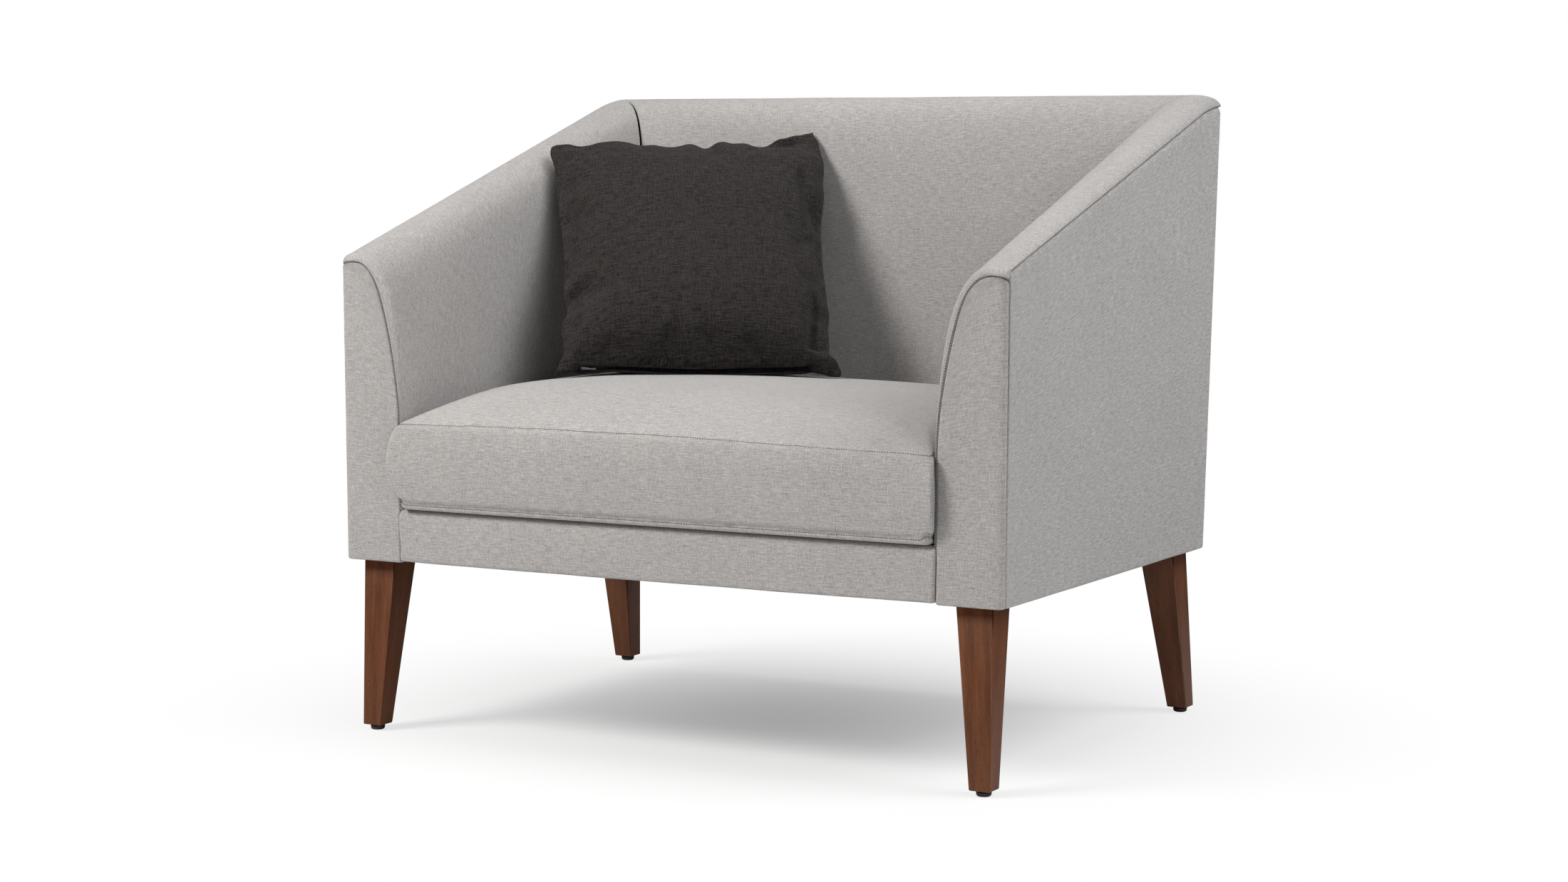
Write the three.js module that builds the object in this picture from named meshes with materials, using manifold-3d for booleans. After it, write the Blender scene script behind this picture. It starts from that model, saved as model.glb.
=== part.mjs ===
// Upholstered armchair: a padded timber frame on splayed legs, a loose boxed seat cushion
// and a loose scatter pillow. Millimetres, +X to the sitter's left, +Y to the back, +Z up.
import * as THREE from "three";
import { mergeVertices } from "three/addons/utils/BufferGeometryUtils.js";
import Module from "manifold-3d";

const wasm = await Module();
wasm.setup();

// ---------------------------------------------------------------- driving dimensions
const hemWidth = 942; // across the outer faces at the hem
const sideLean = 4; // each side leans out this far from the hem to the top line
const hemDepth = 642; // arm front panel to the rear face, at the hem
const backRake = 36; // the rear face leans back this far from the hem to the top line
const hemHeight = 225; // the underside of the body
const armFrontHeight = 621; // crest of the arm at its front
const topLine = 832; // the height that the arm crest levels out at
const armThickness = 92; // the arm at seat level
const backThickness = 69; // the back at seat level

const gap = 0.3; // between pieces that touch
const slip = 0.5; // between the loose cushion and the upholstery round it
const skin = 3; // cover cloth with its wadding
const board = 3; // hardboard panels
const railThickness = 25;
const railHeight = 55;
const postSide = 50;
const postBoard = 22; // thickness of the fin-shaped front posts
const padOverRail = 24; // top line down to the top of the timber
const armRailHeight = 38;
const backRailHeight = 35;
const lowerRailHeight = 45;

const crestInFront = 22; // outer face to the crest, at the arm front
const crestInRear = 30; // the same at the mitre
const crestRound = 40; // half the run in which the slope turns level
const seamDropFront = 7; // crest down to the outer top seam, at the front
const seamDropRear = 18;
const frontRound = 14; // radius of the padded front edge
const seamInset = 13; // front panel's outline in from the arm's full section
const seamInsetLow = 4; // the same beside the seat cushion
const seamFadeLow = 0.33; // of the way from the seat to the crest, at the arm front
const seamFadeHigh = 0.82;
const shoulderInFront = 0.77; // fullness of the arm's inner shoulder, as a part of its width
const shoulderInRear = 0.97;
const wallTopFront = 0.33; // where the inner face turns upright, from the seat to the crest
const wallTopRear = 0.57;
const wallEase = 0.355;

const beltWidth = 50;
const beltThickness = 2;
const longBelts = 7;
const longBeltPitch = 98;
const crossBelts = 3;
const crossBeltPitch = 150;
const weaveLift = 0.95; // belts rise and dip this much where they cross
const deckThickness = 2;
const dustThickness = 1.5;
const railPadding = 3; // the front rail's face ahead of the arm fronts

const legTop = 45;
const legFoot = 26;
const legInset = 19; // side faces in to the leg's outer faces
const legInsetY = 17; // front and rear faces in to the leg
const legSplayX = 9; // foot centre out from the top centre
const legSplayFront = 18;
const legSplayRear = 44;
const legChamfer = 2;
const glideHeight = 7;
const glideRadius = 9.5;
const glidePinRadius = 2.5;
const glidePinLength = 12;
const boltRadius = 4;
const boltInLeg = 32;
const boltInFrame = 30;
const boreClearance = 0.3;
const blockReach = 68;
const blockHeight = 40;

const cushionFrontProud = 10; // cushion front seam ahead of the arm fronts
const cushionFrontBulge = 6;
const cushionUnderside = 11; // the deck up to the cushion's lower seam
const cushionBand = 109; // between the lower and upper seams
const cushionCrown = 56; // top seam up to the crown
const cushionCorner = 26;
const coverCloth = 1.6;

const pillowHalf = 196;
const pillowHeightHalf = 190;
const pillowHalfThickness = 50;
const pillowWaist = 0.035; // how far the side edges draw in between the corners
const pillowYaw = 32.5;
const pillowLean = 36;
const pillowRoll = 1.8;
const pillowEase = 2.5; // it stands this far off the arm and the back

const zipSlotHeight = 8;
const zipTapeThickness = 2.4;
const zipRecess = 5;
const cushionZipLength = 420;
const pillowZipLength = 300;
const sliderLength = 12;

// ---------------------------------------------------------------- levels worked out from them
const frontY = -hemDepth / 2;
const frameStart = skin + gap + board + gap; // outer face in to the timber
const frameEnd = frameStart + railThickness;
const linerStart = frameEnd + gap;
const linerEnd = linerStart + board;
const padStart = linerEnd + gap;
const postEnd = frameStart + postSide;
const railBottom = hemHeight + skin + gap;
const railTop = railBottom + railHeight;
const beltLevel = railTop + gap + beltThickness / 2;
const deckUnder = beltLevel + beltThickness / 2 + weaveLift + gap;
const seatLevel = deckUnder + deckThickness + gap; // what stands on the deck starts here
const finFront = frontY + skin + gap;
const finRear = finFront + postBoard;
const backRailTop = topLine - padOverRail - 8;
const mitreRatio = backThickness / armThickness;

// ---------------------------------------------------------------- materials
const material = (color, roughness, metalness = 0) =>
  new THREE.MeshStandardMaterial({ color, roughness, metalness });
const linen = () => material(0xb4b1ac, 0.9);
const charcoal = () => material(0x3a3635, 0.92);
const walnutStain = () => material(0x6b3420, 0.45);
const beech = () => material(0xc8a878, 0.7);
const hardboard = () => material(0x8a6a4a, 0.8);
const foam = () => material(0xe8e2cf, 0.95);
const webbing = () => material(0x2c2a28, 0.85);
const lining = () => material(0x232324, 0.9);
const nylon = () => material(0x1c1a19, 0.5);
const zinc = () => material(0xa8a9ab, 0.35, 0.9);

// ---------------------------------------------------------------- solid building helpers
const vec = (x, y, z) => new THREE.Vector3(x, y, z);
const flat = (x, y) => new THREE.Vector2(x, y);
const lerp = THREE.MathUtils.lerp;
const smoothstep = THREE.MathUtils.smoothstep;

// A closed geometry from corners and triangles, turned so that its faces point outwards.
function closedBody(points, triangles) {
  let volume = 0;
  for (const [a, b, c] of triangles) {
    volume += points[a].dot(points[b].clone().cross(points[c]));
  }
  const index = triangles.flatMap(([a, b, c]) => (volume > 0 ? [a, b, c] : [a, c, b]));
  const geometry = new THREE.BufferGeometry().setFromPoints(points);
  geometry.setIndex(index);
  geometry.computeVertexNormals();
  return geometry;
}

// The wall between loops of equal length, one after the other.
function wallTriangles(loopCount, n) {
  const triangles = [];
  for (let k = 0; k < loopCount - 1; k++) {
    for (let i = 0; i < n; i++) {
      const a = k * n + i;
      const b = k * n + ((i + 1) % n);
      triangles.push([a, b, b + n], [a, b + n, a + n]);
    }
  }
  return triangles;
}

// A solid lofted through closed loops, capped at both ends by the outline's own triangulation.
function loft(loops, outline) {
  const n = outline.length;
  const triangles = wallTriangles(loops.length, n);
  const last = (loops.length - 1) * n;
  const turn = Math.sign(THREE.ShapeUtils.area(outline));
  for (const [a, b, c] of THREE.ShapeUtils.triangulateShape(outline, [])) {
    const facing = Math.sign(THREE.ShapeUtils.area([outline[a], outline[b], outline[c]]));
    const [p, q] = facing === turn ? [b, c] : [c, b];
    triangles.push([a, q, p], [a + last, p + last, q + last]);
  }
  return closedBody(loops.flat(), triangles);
}

// The points at which an outline really turns.
function corners(outline) {
  const n = outline.length;
  return outline.filter((p, i) => {
    const before = p.clone().sub(outline[(i + n - 1) % n]).normalize();
    const after = outline[(i + 1) % n].clone().sub(p).normalize();
    return Math.abs(before.cross(after)) > 1e-5;
  });
}

// A solid between two places of the same outline.
function prism(outline, near, far) {
  const turns = corners(outline);
  return loft([turns.map(near), turns.map(far)], turns);
}

// A soft body: rings stacked from the bottom up, closed by a fan at each end.
function ringBody(rings, bottom, top) {
  const n = rings[0].length;
  const points = [...rings.flat(), bottom, top];
  const triangles = wallTriangles(rings.length, n);
  const last = (rings.length - 1) * n;
  for (let i = 0; i < n; i++) {
    const next = (i + 1) % n;
    triangles.push([points.length - 2, next, i]);
    triangles.push([points.length - 1, last + i, last + next]);
  }
  return closedBody(points, triangles);
}

// A sheet between two grids of points, closed along its four edges.
function sheet(outer, inner) {
  const rows = outer.length;
  const columns = outer[0].length;
  const back = rows * columns;
  const at = (r, c) => r * columns + c;
  const triangles = [];
  for (let r = 0; r < rows - 1; r++) {
    for (let c = 0; c < columns - 1; c++) {
      const [a, b, d, e] = [at(r, c), at(r, c + 1), at(r + 1, c + 1), at(r + 1, c)];
      triangles.push([a, b, d], [a, d, e]);
      triangles.push([a + back, d + back, b + back], [a + back, e + back, d + back]);
    }
  }
  const rim = [];
  for (let c = 0; c < columns - 1; c++) rim.push(at(0, c));
  for (let r = 0; r < rows - 1; r++) rim.push(at(r, columns - 1));
  for (let c = columns - 1; c > 0; c--) rim.push(at(rows - 1, c));
  for (let r = rows - 1; r > 0; r--) rim.push(at(r, 0));
  rim.forEach((a, i) => {
    const b = rim[(i + 1) % rim.length];
    triangles.push([b, a, a + back], [b, a + back, b + back]);
  });
  return closedBody([...outer.flat(), ...inner.flat()], triangles);
}

function solidOf(geometry) {
  const bare = geometry.clone();
  bare.deleteAttribute("normal");
  bare.deleteAttribute("uv");
  const merged = mergeVertices(bare, 1e-4);
  const mesh = new wasm.Mesh({
    numProp: 3,
    vertProperties: merged.attributes.position.array,
    triVerts: new Uint32Array(merged.index.array),
  });
  return new wasm.Manifold(mesh);
}

function geometryOf(solid) {
  const mesh = solid.getMesh();
  const geometry = new THREE.BufferGeometry();
  geometry.setAttribute("position", new THREE.BufferAttribute(mesh.vertProperties, 3));
  geometry.setIndex(new THREE.BufferAttribute(mesh.triVerts, 1));
  geometry.computeVertexNormals();
  return geometry;
}

const cut = (geometry, ...tools) =>
  geometryOf(tools.reduce((left, tool) => left.subtract(solidOf(tool)), solidOf(geometry)));
const join = (...parts) => geometryOf(parts.map(solidOf).reduce((all, part) => all.add(part)));

const box = (x0, x1, y0, y1, z0, z1) =>
  new THREE.BoxGeometry(x1 - x0, y1 - y0, z1 - z0).translate(
    (x0 + x1) / 2,
    (y0 + y1) / 2,
    (z0 + z1) / 2,
  );

const upright = (radius, z0, z1, x, y) =>
  new THREE.CylinderGeometry(radius, radius, z1 - z0, 16)
    .rotateX(Math.PI / 2)
    .translate(x, y, (z0 + z1) / 2);

const chair = new THREE.Group();

function add(name, geometry, finish, parent = chair) {
  const mesh = new THREE.Mesh(geometry, finish);
  mesh.name = name;
  parent.add(mesh);
  return mesh;
}

// Right and left copies of a piece that is modelled on the +X side.
function pair(name, geometry, finish) {
  add(name + "_right", geometry, finish());
  add(name + "_left", geometry, finish()).scale.x = -1;
}

// ---------------------------------------------------------------- the body's outer faces
// u is a distance in from the outer side face, v a distance in from the rear face.
const rise = (z) => (z - hemHeight) / (topLine - hemHeight);
const sideX = (z) => hemWidth / 2 + sideLean * rise(z);
const rearY = (z) => hemDepth / 2 + backRake * rise(z);
const mitreY = (u, z) => rearY(z) - u * mitreRatio;

const crestMeet = hemDepth / 2 + backRake - crestInRear + 2;
const armSlope = (topLine - armFrontHeight) / (crestMeet - frontY);

// The arm's crest climbs straight from the front, then levels out into the back's top line.
function crest(y) {
  const left = crestMeet + crestRound - y;
  if (left >= 2 * crestRound) return armFrontHeight + armSlope * (y - frontY);
  if (left <= 0) return topLine;
  return topLine - (armSlope * left * left) / (4 * crestRound);
}

const along = (y) => THREE.MathUtils.clamp((y - frontY) / (crestMeet - frontY), 0, 1);
const seamDrop = (y) => lerp(seamDropFront, seamDropRear, along(y));

const outerSteps = 5;
const innerSteps = 11;

// The arm's section at a depth y, from the outer top seam over the crest and down the inside:
// a narrow fin with a flared foot at the front, a full rounded block at the mitre.
function armOutline(y) {
  const t = along(y);
  const top = crest(y);
  const crestIn = lerp(crestInFront, crestInRear, t);
  const drop = seamDrop(y);
  const shoulder = (armThickness - crestIn) * lerp(shoulderInFront, shoulderInRear, t);
  const wallTop = lerp(seatLevel, top, lerp(wallTopFront, wallTopRear, t));
  const outer = new THREE.CubicBezierCurve(
    flat(0, top - drop),
    flat(0, top - drop * 0.45),
    flat(crestIn * 0.45, top),
    flat(crestIn, top),
  );
  const inner = new THREE.CubicBezierCurve(
    flat(crestIn, top),
    flat(crestIn + shoulder, top),
    flat(armThickness, wallTop + (top - seatLevel) * wallEase),
    flat(armThickness, wallTop),
  );
  return [
    ...outer.getPoints(outerSteps),
    ...inner.getPoints(innerSteps).slice(1),
    flat(armThickness, seatLevel),
  ];
}

// A point of an outline moved into the arm by a depth, square to the outline. At the outer seam
// it moves straight in, and what lies under the cover also drops clear of it.
function insetPoint(outline, i, depth) {
  const before = outline[Math.max(i - 1, 0)];
  const after = outline[Math.min(i + 1, outline.length - 1)];
  const run = after.clone().sub(before).normalize();
  if (i === 0) return flat(depth, outline[i].y - Math.max(depth - skin, 0));
  if (i === outline.length - 1) return flat(outline[i].x - depth, outline[i].y);
  return flat(outline[i].x + run.y * depth, outline[i].y - run.x * depth);
}

const sectionSize = armOutline(frontY).length;
const everyPoint = [...Array(sectionSize).keys()];
const edgeSteps = 4;
const runSteps = 11;
const lastStation = edgeSteps + runSteps;
const everyStation = [...Array(lastStation + 1).keys()];

// The front panel's outline lies this far inside the arm's full section.
function panelInset(i, z) {
  if (i <= outerSteps) return lerp(skin + gap, seamInset, (i / outerSteps) ** 2);
  const up = (z - seatLevel) / (armFrontHeight - seatLevel);
  return lerp(seamInsetLow, seamInset, smoothstep(up, seamFadeLow, seamFadeHigh));
}

// Point i of the arm's surface at a station: the first stations turn round the padded front
// edge, the rest run back and end on the mitre plane.
function armSection(i, station, depth) {
  const turn = (Math.min(station / edgeSteps, 1) * Math.PI) / 2;
  const run = 1 - (1 - Math.max(station - edgeSteps, 0) / runSteps) ** 1.6;
  const runStart = frontY + frontRound;
  let y = frontY + depth + (frontRound - depth) * (1 - Math.cos(turn));
  let point;
  for (let pass = 0; pass < 4; pass++) {
    const outline = armOutline(Math.max(y, runStart));
    const edge = (panelInset(i, outline[i].y) - skin - gap) * (1 - Math.sin(turn));
    point = insetPoint(outline, i, depth + edge);
    if (run > 0) y = lerp(runStart, mitreY(point.x, point.y) - gap, run);
  }
  return { u: point.x, y, z: point.y };
}

function armPoint(i, station, depth) {
  const { u, y, z } = armSection(i, station, depth);
  return vec(sideX(z) - u, y, z);
}

// The back takes its section from the arm's mitre, so the two meet on one plane.
function backPoint(i, end, depth) {
  const { u, z } = armSection(i, lastStation, depth);
  return vec(end * (sideX(z) - u), mitreY(u, z), z);
}

const rearSeam = armSection(0, lastStation, 0).z;
const timberLine = (y) => crest(y) - padOverRail;

// Pieces that lie along a side face, drawn in (y, z), between two depths in from it.
const sideSlab = (outline, u0, u1) =>
  prism(
    outline,
    (p) => vec(sideX(p.y) - u0, p.x, p.y),
    (p) => vec(sideX(p.y) - u1, p.x, p.y),
  );

// Pieces that stand across the front, drawn in (u, z), between two depths.
const frontSlab = (outline, y0, y1) =>
  prism(
    outline,
    (p) => vec(sideX(p.y) - p.x, y0, p.y),
    (p) => vec(sideX(p.y) - p.x, y1, p.y),
  );

// Pieces that stand in a rear corner, drawn in (u, v), between two heights.
function column(outline, z0, z1) {
  const at = (z) => (p) => vec(sideX(z) - p.x, rearY(z) - p.y, z);
  return prism(outline, at(z0), at(z1));
}

// Pieces that run across the chair between both sides, drawn in (y, z).
function crossSlab(outline, fromSide) {
  const at = (end) => (p) => vec(end * (sideX(p.y) - fromSide), p.x, p.y);
  return prism(outline, at(-1), at(1));
}

// The same along the raked rear face, drawn in (v, z).
function rearSlab(outline, fromSide) {
  const at = (end) => (p) => vec(end * (sideX(p.y) - fromSide), rearY(p.y) - p.x, p.y);
  return prism(outline, at(-1), at(1));
}

const rectangle = (a0, a1, b0, b1) => [flat(a0, b0), flat(a1, b0), flat(a1, b1), flat(a0, b1)];

// ---------------------------------------------------------------- timber frame
// The front post is a board cut to the arm's fin profile.
const finPadding = 3; // wadding round the post's edge
const finShoulder = 8; // bevel at the post's outer top corner
const finFoot = armThickness - seamInsetLow - finPadding;

function finOutline(grow) {
  const outline = armOutline(frontY + frontRound);
  const inside = everyPoint
    .slice(0, -1)
    .map((i) => insetPoint(outline, i, panelInset(i, outline[i].y) + finPadding - grow))
    .filter((p) => p.x > frameStart + 1);
  return [
    flat(finFoot + grow, railBottom - grow),
    flat(frameStart - grow, railBottom - grow),
    flat(frameStart - grow, inside[0].y - finShoulder),
    ...inside,
  ];
}

pair("front_post", frontSlab(finOutline(0), finFront, finRear), beech);

const boltSeat = (geometry, x, y) =>
  cut(geometry, upright(boltRadius + boreClearance, railBottom - 1, railBottom + boltInFrame + 1, x, y));

const legTopX = sideX(hemHeight) - legInset - legTop / 2;
const legTopFrontY = frontY + legInsetY + legTop / 2;
const legTopRearY = rearY(hemHeight) - legInsetY - legTop / 2;

const postSection = rectangle(frameStart, postEnd, frameStart, postEnd);
const rearPost = column(postSection, railBottom, backRailTop);
pair("rear_post", boltSeat(rearPost, legTopX, legTopRearY), beech);

const postFace = (z) => rearY(z) - postEnd - gap;
const sideRail = [
  flat(finRear + gap, railBottom),
  flat(postFace(railBottom), railBottom),
  flat(postFace(railTop), railTop),
  flat(finRear + gap, railTop),
];
pair("side_rail", sideSlab(sideRail, frameStart, frameEnd), beech);

const bendY = crestMeet - crestRound;
const railRearY = postFace(backRailTop);
const armRailTop = [
  flat(finRear + gap, timberLine(finRear + gap)),
  flat(bendY, timberLine(bendY)),
  flat(railRearY, backRailTop),
];
const armRail = [
  ...armRailTop,
  flat(postFace(backRailTop - armRailHeight), backRailTop - armRailHeight),
  flat(armRailTop[0].x, armRailTop[0].y - armRailHeight),
];
pair("arm_top_rail", sideSlab(armRail, frameStart, frameEnd), beech);

const frontRail = rectangle(finFront, finRear, railBottom, railTop);
add("front_rail", crossSlab(frontRail, finFoot + gap), beech());

const crossRail = (z0, z1) =>
  rearSlab(rectangle(frameStart, frameEnd, z0, z1), postEnd + gap);
add("rear_rail", crossRail(railBottom, railTop), beech());
add("back_lower_rail", crossRail(seatLevel, seatLevel + lowerRailHeight), beech());
add("back_top_rail", crossRail(backRailTop - backRailHeight, backRailTop), beech());

// Glued blocks in the four corners stiffen the rails over the legs.
const blockStart = finRear + gap;
const blockEdge = 14;
const frontBlock = prism(
  [
    flat(linerStart, blockStart),
    flat(linerStart + blockReach, blockStart),
    flat(linerStart + blockReach, blockStart + blockEdge),
    flat(linerStart + blockEdge, blockStart + blockReach),
    flat(linerStart, blockStart + blockReach),
  ],
  (p) => vec(sideX(railBottom) - p.x, p.y, railBottom),
  (p) => vec(sideX(railBottom) - p.x, p.y, railBottom + blockHeight),
);
pair("corner_block_front", boltSeat(frontBlock, legTopX, legTopFrontY), beech);

const postClear = postEnd + gap;
const rearBlock = column(
  [
    flat(linerStart, postClear),
    flat(postClear, postClear),
    flat(postClear, linerStart),
    flat(postClear + blockReach, linerStart),
    flat(postClear + blockReach, linerStart + blockEdge),
    flat(linerStart + blockEdge, postClear + blockReach),
    flat(linerStart, postClear + blockReach),
  ],
  railBottom,
  railBottom + blockHeight,
);
pair("corner_block_rear", rearBlock, beech);

// ---------------------------------------------------------------- hardboard
const boardStart = skin + gap;
const rearSkin = skin * mitreRatio; // the rear cover is thinner, so that it meets the mitre
const rearBoardStart = rearSkin + gap;
const sideBoard = [
  flat(finFront, railBottom),
  flat(rearY(railBottom) - rearBoardStart, railBottom),
  flat(rearY(backRailTop) - rearBoardStart, backRailTop),
  flat(bendY, timberLine(bendY)),
  flat(finFront, timberLine(finFront)),
];
pair("arm_outer_board", sideSlab(sideBoard, boardStart, boardStart + board), hardboard);

const sideLiner = [
  flat(finRear + gap, seatLevel),
  flat(postFace(seatLevel), seatLevel),
  ...[...armRailTop].reverse(),
];
pair("arm_inner_board", sideSlab(sideLiner, linerStart, linerEnd), hardboard);

add(
  "back_outer_board",
  rearSlab(rectangle(rearBoardStart, frameStart - gap, railBottom, backRailTop), frameStart),
  hardboard(),
);
add(
  "back_inner_board",
  rearSlab(rectangle(linerStart, linerEnd, seatLevel, backRailTop), postEnd + gap),
  hardboard(),
);

// ---------------------------------------------------------------- seat webbing and cloths
// Long belts run front to back and cross belts side to side, each over one and under the next.
const positions = (count, pitch) => [...Array(count).keys()].map((k) => (k - (count - 1) / 2) * pitch);
const longX = positions(longBelts, longBeltPitch);
const crossBeltShift = 10; // the cross belts sit a little forward of the middle
const crossY = positions(crossBelts, crossBeltPitch).map((y) => y - crossBeltShift);
const beltLap = 12; // belt ends short of the side and rear faces
const beltStart = 6; // and of the front rail's front face
const beltEase = 1.5; // flat part past the edge of the belt that it crosses

function belt(from, to, crossings, sign) {
  const half = beltWidth / 2 + beltEase;
  const middle = [flat(from, 0)];
  crossings.forEach((at, k) => {
    const lift = weaveLift * sign * (k % 2 ? -1 : 1);
    middle.push(flat(at - half, lift), flat(at + half, lift));
  });
  middle.push(flat(to, 0));
  const above = middle.map((p) => flat(p.x, beltLevel + p.y + beltThickness / 2));
  const below = middle.map((p) => flat(p.x, beltLevel + p.y - beltThickness / 2));
  return [...above, ...below.reverse()];
}

const crossEnd = sideX(railTop) - beltLap;
const webs = [];
longX.forEach((x, k) => {
  const outline = belt(finFront + beltStart, rearY(railTop) - beltLap, crossY, k % 2 ? -1 : 1);
  const at = (side) => (p) => vec(x + (side * beltWidth) / 2, p.x, p.y);
  webs.push(prism(outline, at(-1), at(1)));
});
crossY.forEach((y, k) => {
  const outline = belt(-crossEnd, crossEnd, longX, k % 2 ? 1 : -1);
  const at = (side) => (p) => vec(p.x, y + (side * beltWidth) / 2, p.y);
  webs.push(prism(outline, at(-1), at(1)));
});
add("seat_webbing", join(...webs), webbing());

const deckFront = frontY + 1;
const deckSide = sideX(deckUnder) - frameStart;
const deckNotchFront = sideX(deckUnder) - armThickness;
const deckNotchRear = sideX(deckUnder) - postEnd - gap;
const deckRear = rearY(deckUnder) - frameStart;
const deckRearShoulder = rearY(deckUnder) - postEnd - gap;
const deckHalf = [
  flat(deckNotchFront, deckFront),
  flat(deckNotchFront, finRear + gap),
  flat(deckSide, finRear + gap),
  flat(deckSide, deckRearShoulder),
  flat(deckNotchRear, deckRearShoulder),
  flat(deckNotchRear, deckRear),
];
const deckOutline = [...deckHalf, ...[...deckHalf].reverse().map((p) => flat(-p.x, p.y))];
add(
  "seat_deck",
  prism(
    deckOutline,
    (p) => vec(p.x, p.y, deckUnder),
    (p) => vec(p.x, p.y, deckUnder + deckThickness),
  ),
  lining(),
);

const dustTop = railBottom - gap;
const dustMargin = 12;
const dustFront = finRear - 4; // tucked over the rail cover's edge
const legHole = legTop / 2 + 1;
const dustSheet = box(
  -sideX(hemHeight) + dustMargin,
  sideX(hemHeight) - dustMargin,
  dustFront,
  rearY(hemHeight) - dustMargin,
  dustTop - dustThickness,
  dustTop,
);
const legPlaces = [
  ["front", legTopFrontY, -legSplayFront],
  ["rear", legTopRearY, legSplayRear],
];
const dustHoles = legPlaces.flatMap(([, y]) =>
  [-1, 1].map((side) =>
    box(
      side * legTopX - legHole,
      side * legTopX + legHole,
      y - legHole,
      y + legHole,
      hemHeight,
      railBottom,
    ),
  ),
);
add("dust_cover", cut(dustSheet, ...dustHoles), lining());

// ---------------------------------------------------------------- foam pads
const reach = 20; // cutting tools run past the piece they cut
const frameBlock = sideSlab(
  [
    flat(frontY - reach, 0),
    flat(rearY(topLine) + reach, 0),
    flat(rearY(topLine) + reach, backRailTop + gap),
    flat(railRearY, backRailTop + gap),
    flat(bendY, timberLine(bendY) + gap),
    flat(frontY - reach, timberLine(frontY) - armSlope * reach + gap),
  ],
  -reach,
  padStart,
);
const postBlock = column(rectangle(-reach, postClear, -reach, postClear), 0, backRailTop + gap);
const finBlock = frontSlab(finOutline(gap), frontY, finRear + gap);

const padDepth = skin + gap;
const padLoop = (station) => [
  ...everyPoint.map((i) => armPoint(i, station, padDepth)),
  armPoint(sectionSize - 1, station, padDepth).setX(sideX(seatLevel) - padDepth),
];
const padOutline = (loop) => loop.map((p) => flat(p.x, p.z));
const padLoops = everyStation.map(padLoop);
const armPad = loft(padLoops, padOutline(padLoops[0]));
pair("arm_pad", cut(armPad, frameBlock, postBlock, finBlock), foam);

const backFrameBlock = rearSlab(rectangle(-reach, padStart, 0, backRailTop + gap), -reach);
const backLoop = (end) => [
  ...everyPoint.map((i) => backPoint(i, end, padDepth)),
  vec(end * (sideX(seatLevel) - padDepth), mitreY(padDepth, seatLevel), seatLevel),
];
const backLoops = [-1, 1].map(backLoop);
const backPad = loft(backLoops, backLoops[1].map((p) => flat(p.y, p.z)));
const mirrored = (geometry) =>
  geometryOf(solidOf(geometry).scale([-1, 1, 1]));
add("back_pad", cut(backPad, backFrameBlock, postBlock, mirrored(postBlock)), foam());

// ---------------------------------------------------------------- covers
const gridOf = (stations, point, depth) =>
  stations.map((station) => everyPoint.map((i) => point(i, station, depth)));
const armCover = sheet(gridOf(everyStation, armPoint, 0), gridOf(everyStation, armPoint, skin));
pair("arm_inner_cover", armCover, linen);

const backEnds = [-1, 1];
const backCover = sheet(gridOf(backEnds, backPoint, 0), gridOf(backEnds, backPoint, skin));
add("back_inner_cover", backCover, linen());

const topSeam = everyStation.map((station) => armSection(0, station, 0));
const sideCover = [
  flat(rearY(hemHeight), hemHeight),
  flat(frontY, hemHeight),
  ...topSeam.map(({ y, z }) => flat(y, z - gap)),
];
pair("arm_outer_cover", sideSlab(sideCover, 0, skin), linen);

const panelSection = armOutline(frontY + frontRound);
const panelEdge = everyPoint
  .slice(0, -1)
  .map((i) => insetPoint(panelSection, i, panelInset(i, panelSection[i].y)));
const panelFoot = panelEdge[panelEdge.length - 1].x;
const frontPanel = [flat(panelFoot, hemHeight), flat(panelEdge[0].x, hemHeight), ...panelEdge];
pair("arm_front_cover", frontSlab(frontPanel, frontY, frontY + skin), linen);

add(
  "back_outer_cover",
  rearSlab(rectangle(0, rearSkin, hemHeight, rearSeam - gap), skin + gap),
  linen(),
);

// The rail cover wraps over and under the front rail and is stapled behind its edges.
const railFace = frontY - railPadding;
const railBack = finFront - gap;
const railLapTop = finFront + 5; // cloth carried back over the rail
const railLapLow = finRear - 8; // and under it
const coverEase = 2;
const railSection = [
  flat(railFace, hemHeight + coverEase),
  flat(railFace + coverEase, hemHeight),
  flat(railLapLow, hemHeight),
  flat(railLapLow, railBottom - gap),
  flat(railBack, railBottom - gap),
  flat(railBack, railTop + gap),
  flat(railLapTop, railTop + gap),
  flat(railLapTop, railTop + gap + beltThickness),
  flat(railFace + coverEase, railTop + gap + beltThickness),
  flat(railFace, railTop),
];
add("front_rail_cover", crossSlab(railSection, panelFoot + gap), linen());

// ---------------------------------------------------------------- legs, bolts and glides
function chamferedSquare(half, x, y, z) {
  const c = half - legChamfer;
  return [
    [c, -half], [half, -c], [half, c], [c, half], [-c, half], [-half, c], [-half, -c], [-c, -half],
  ].map(([dx, dy]) => vec(x + dx, y + dy, z));
}

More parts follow.
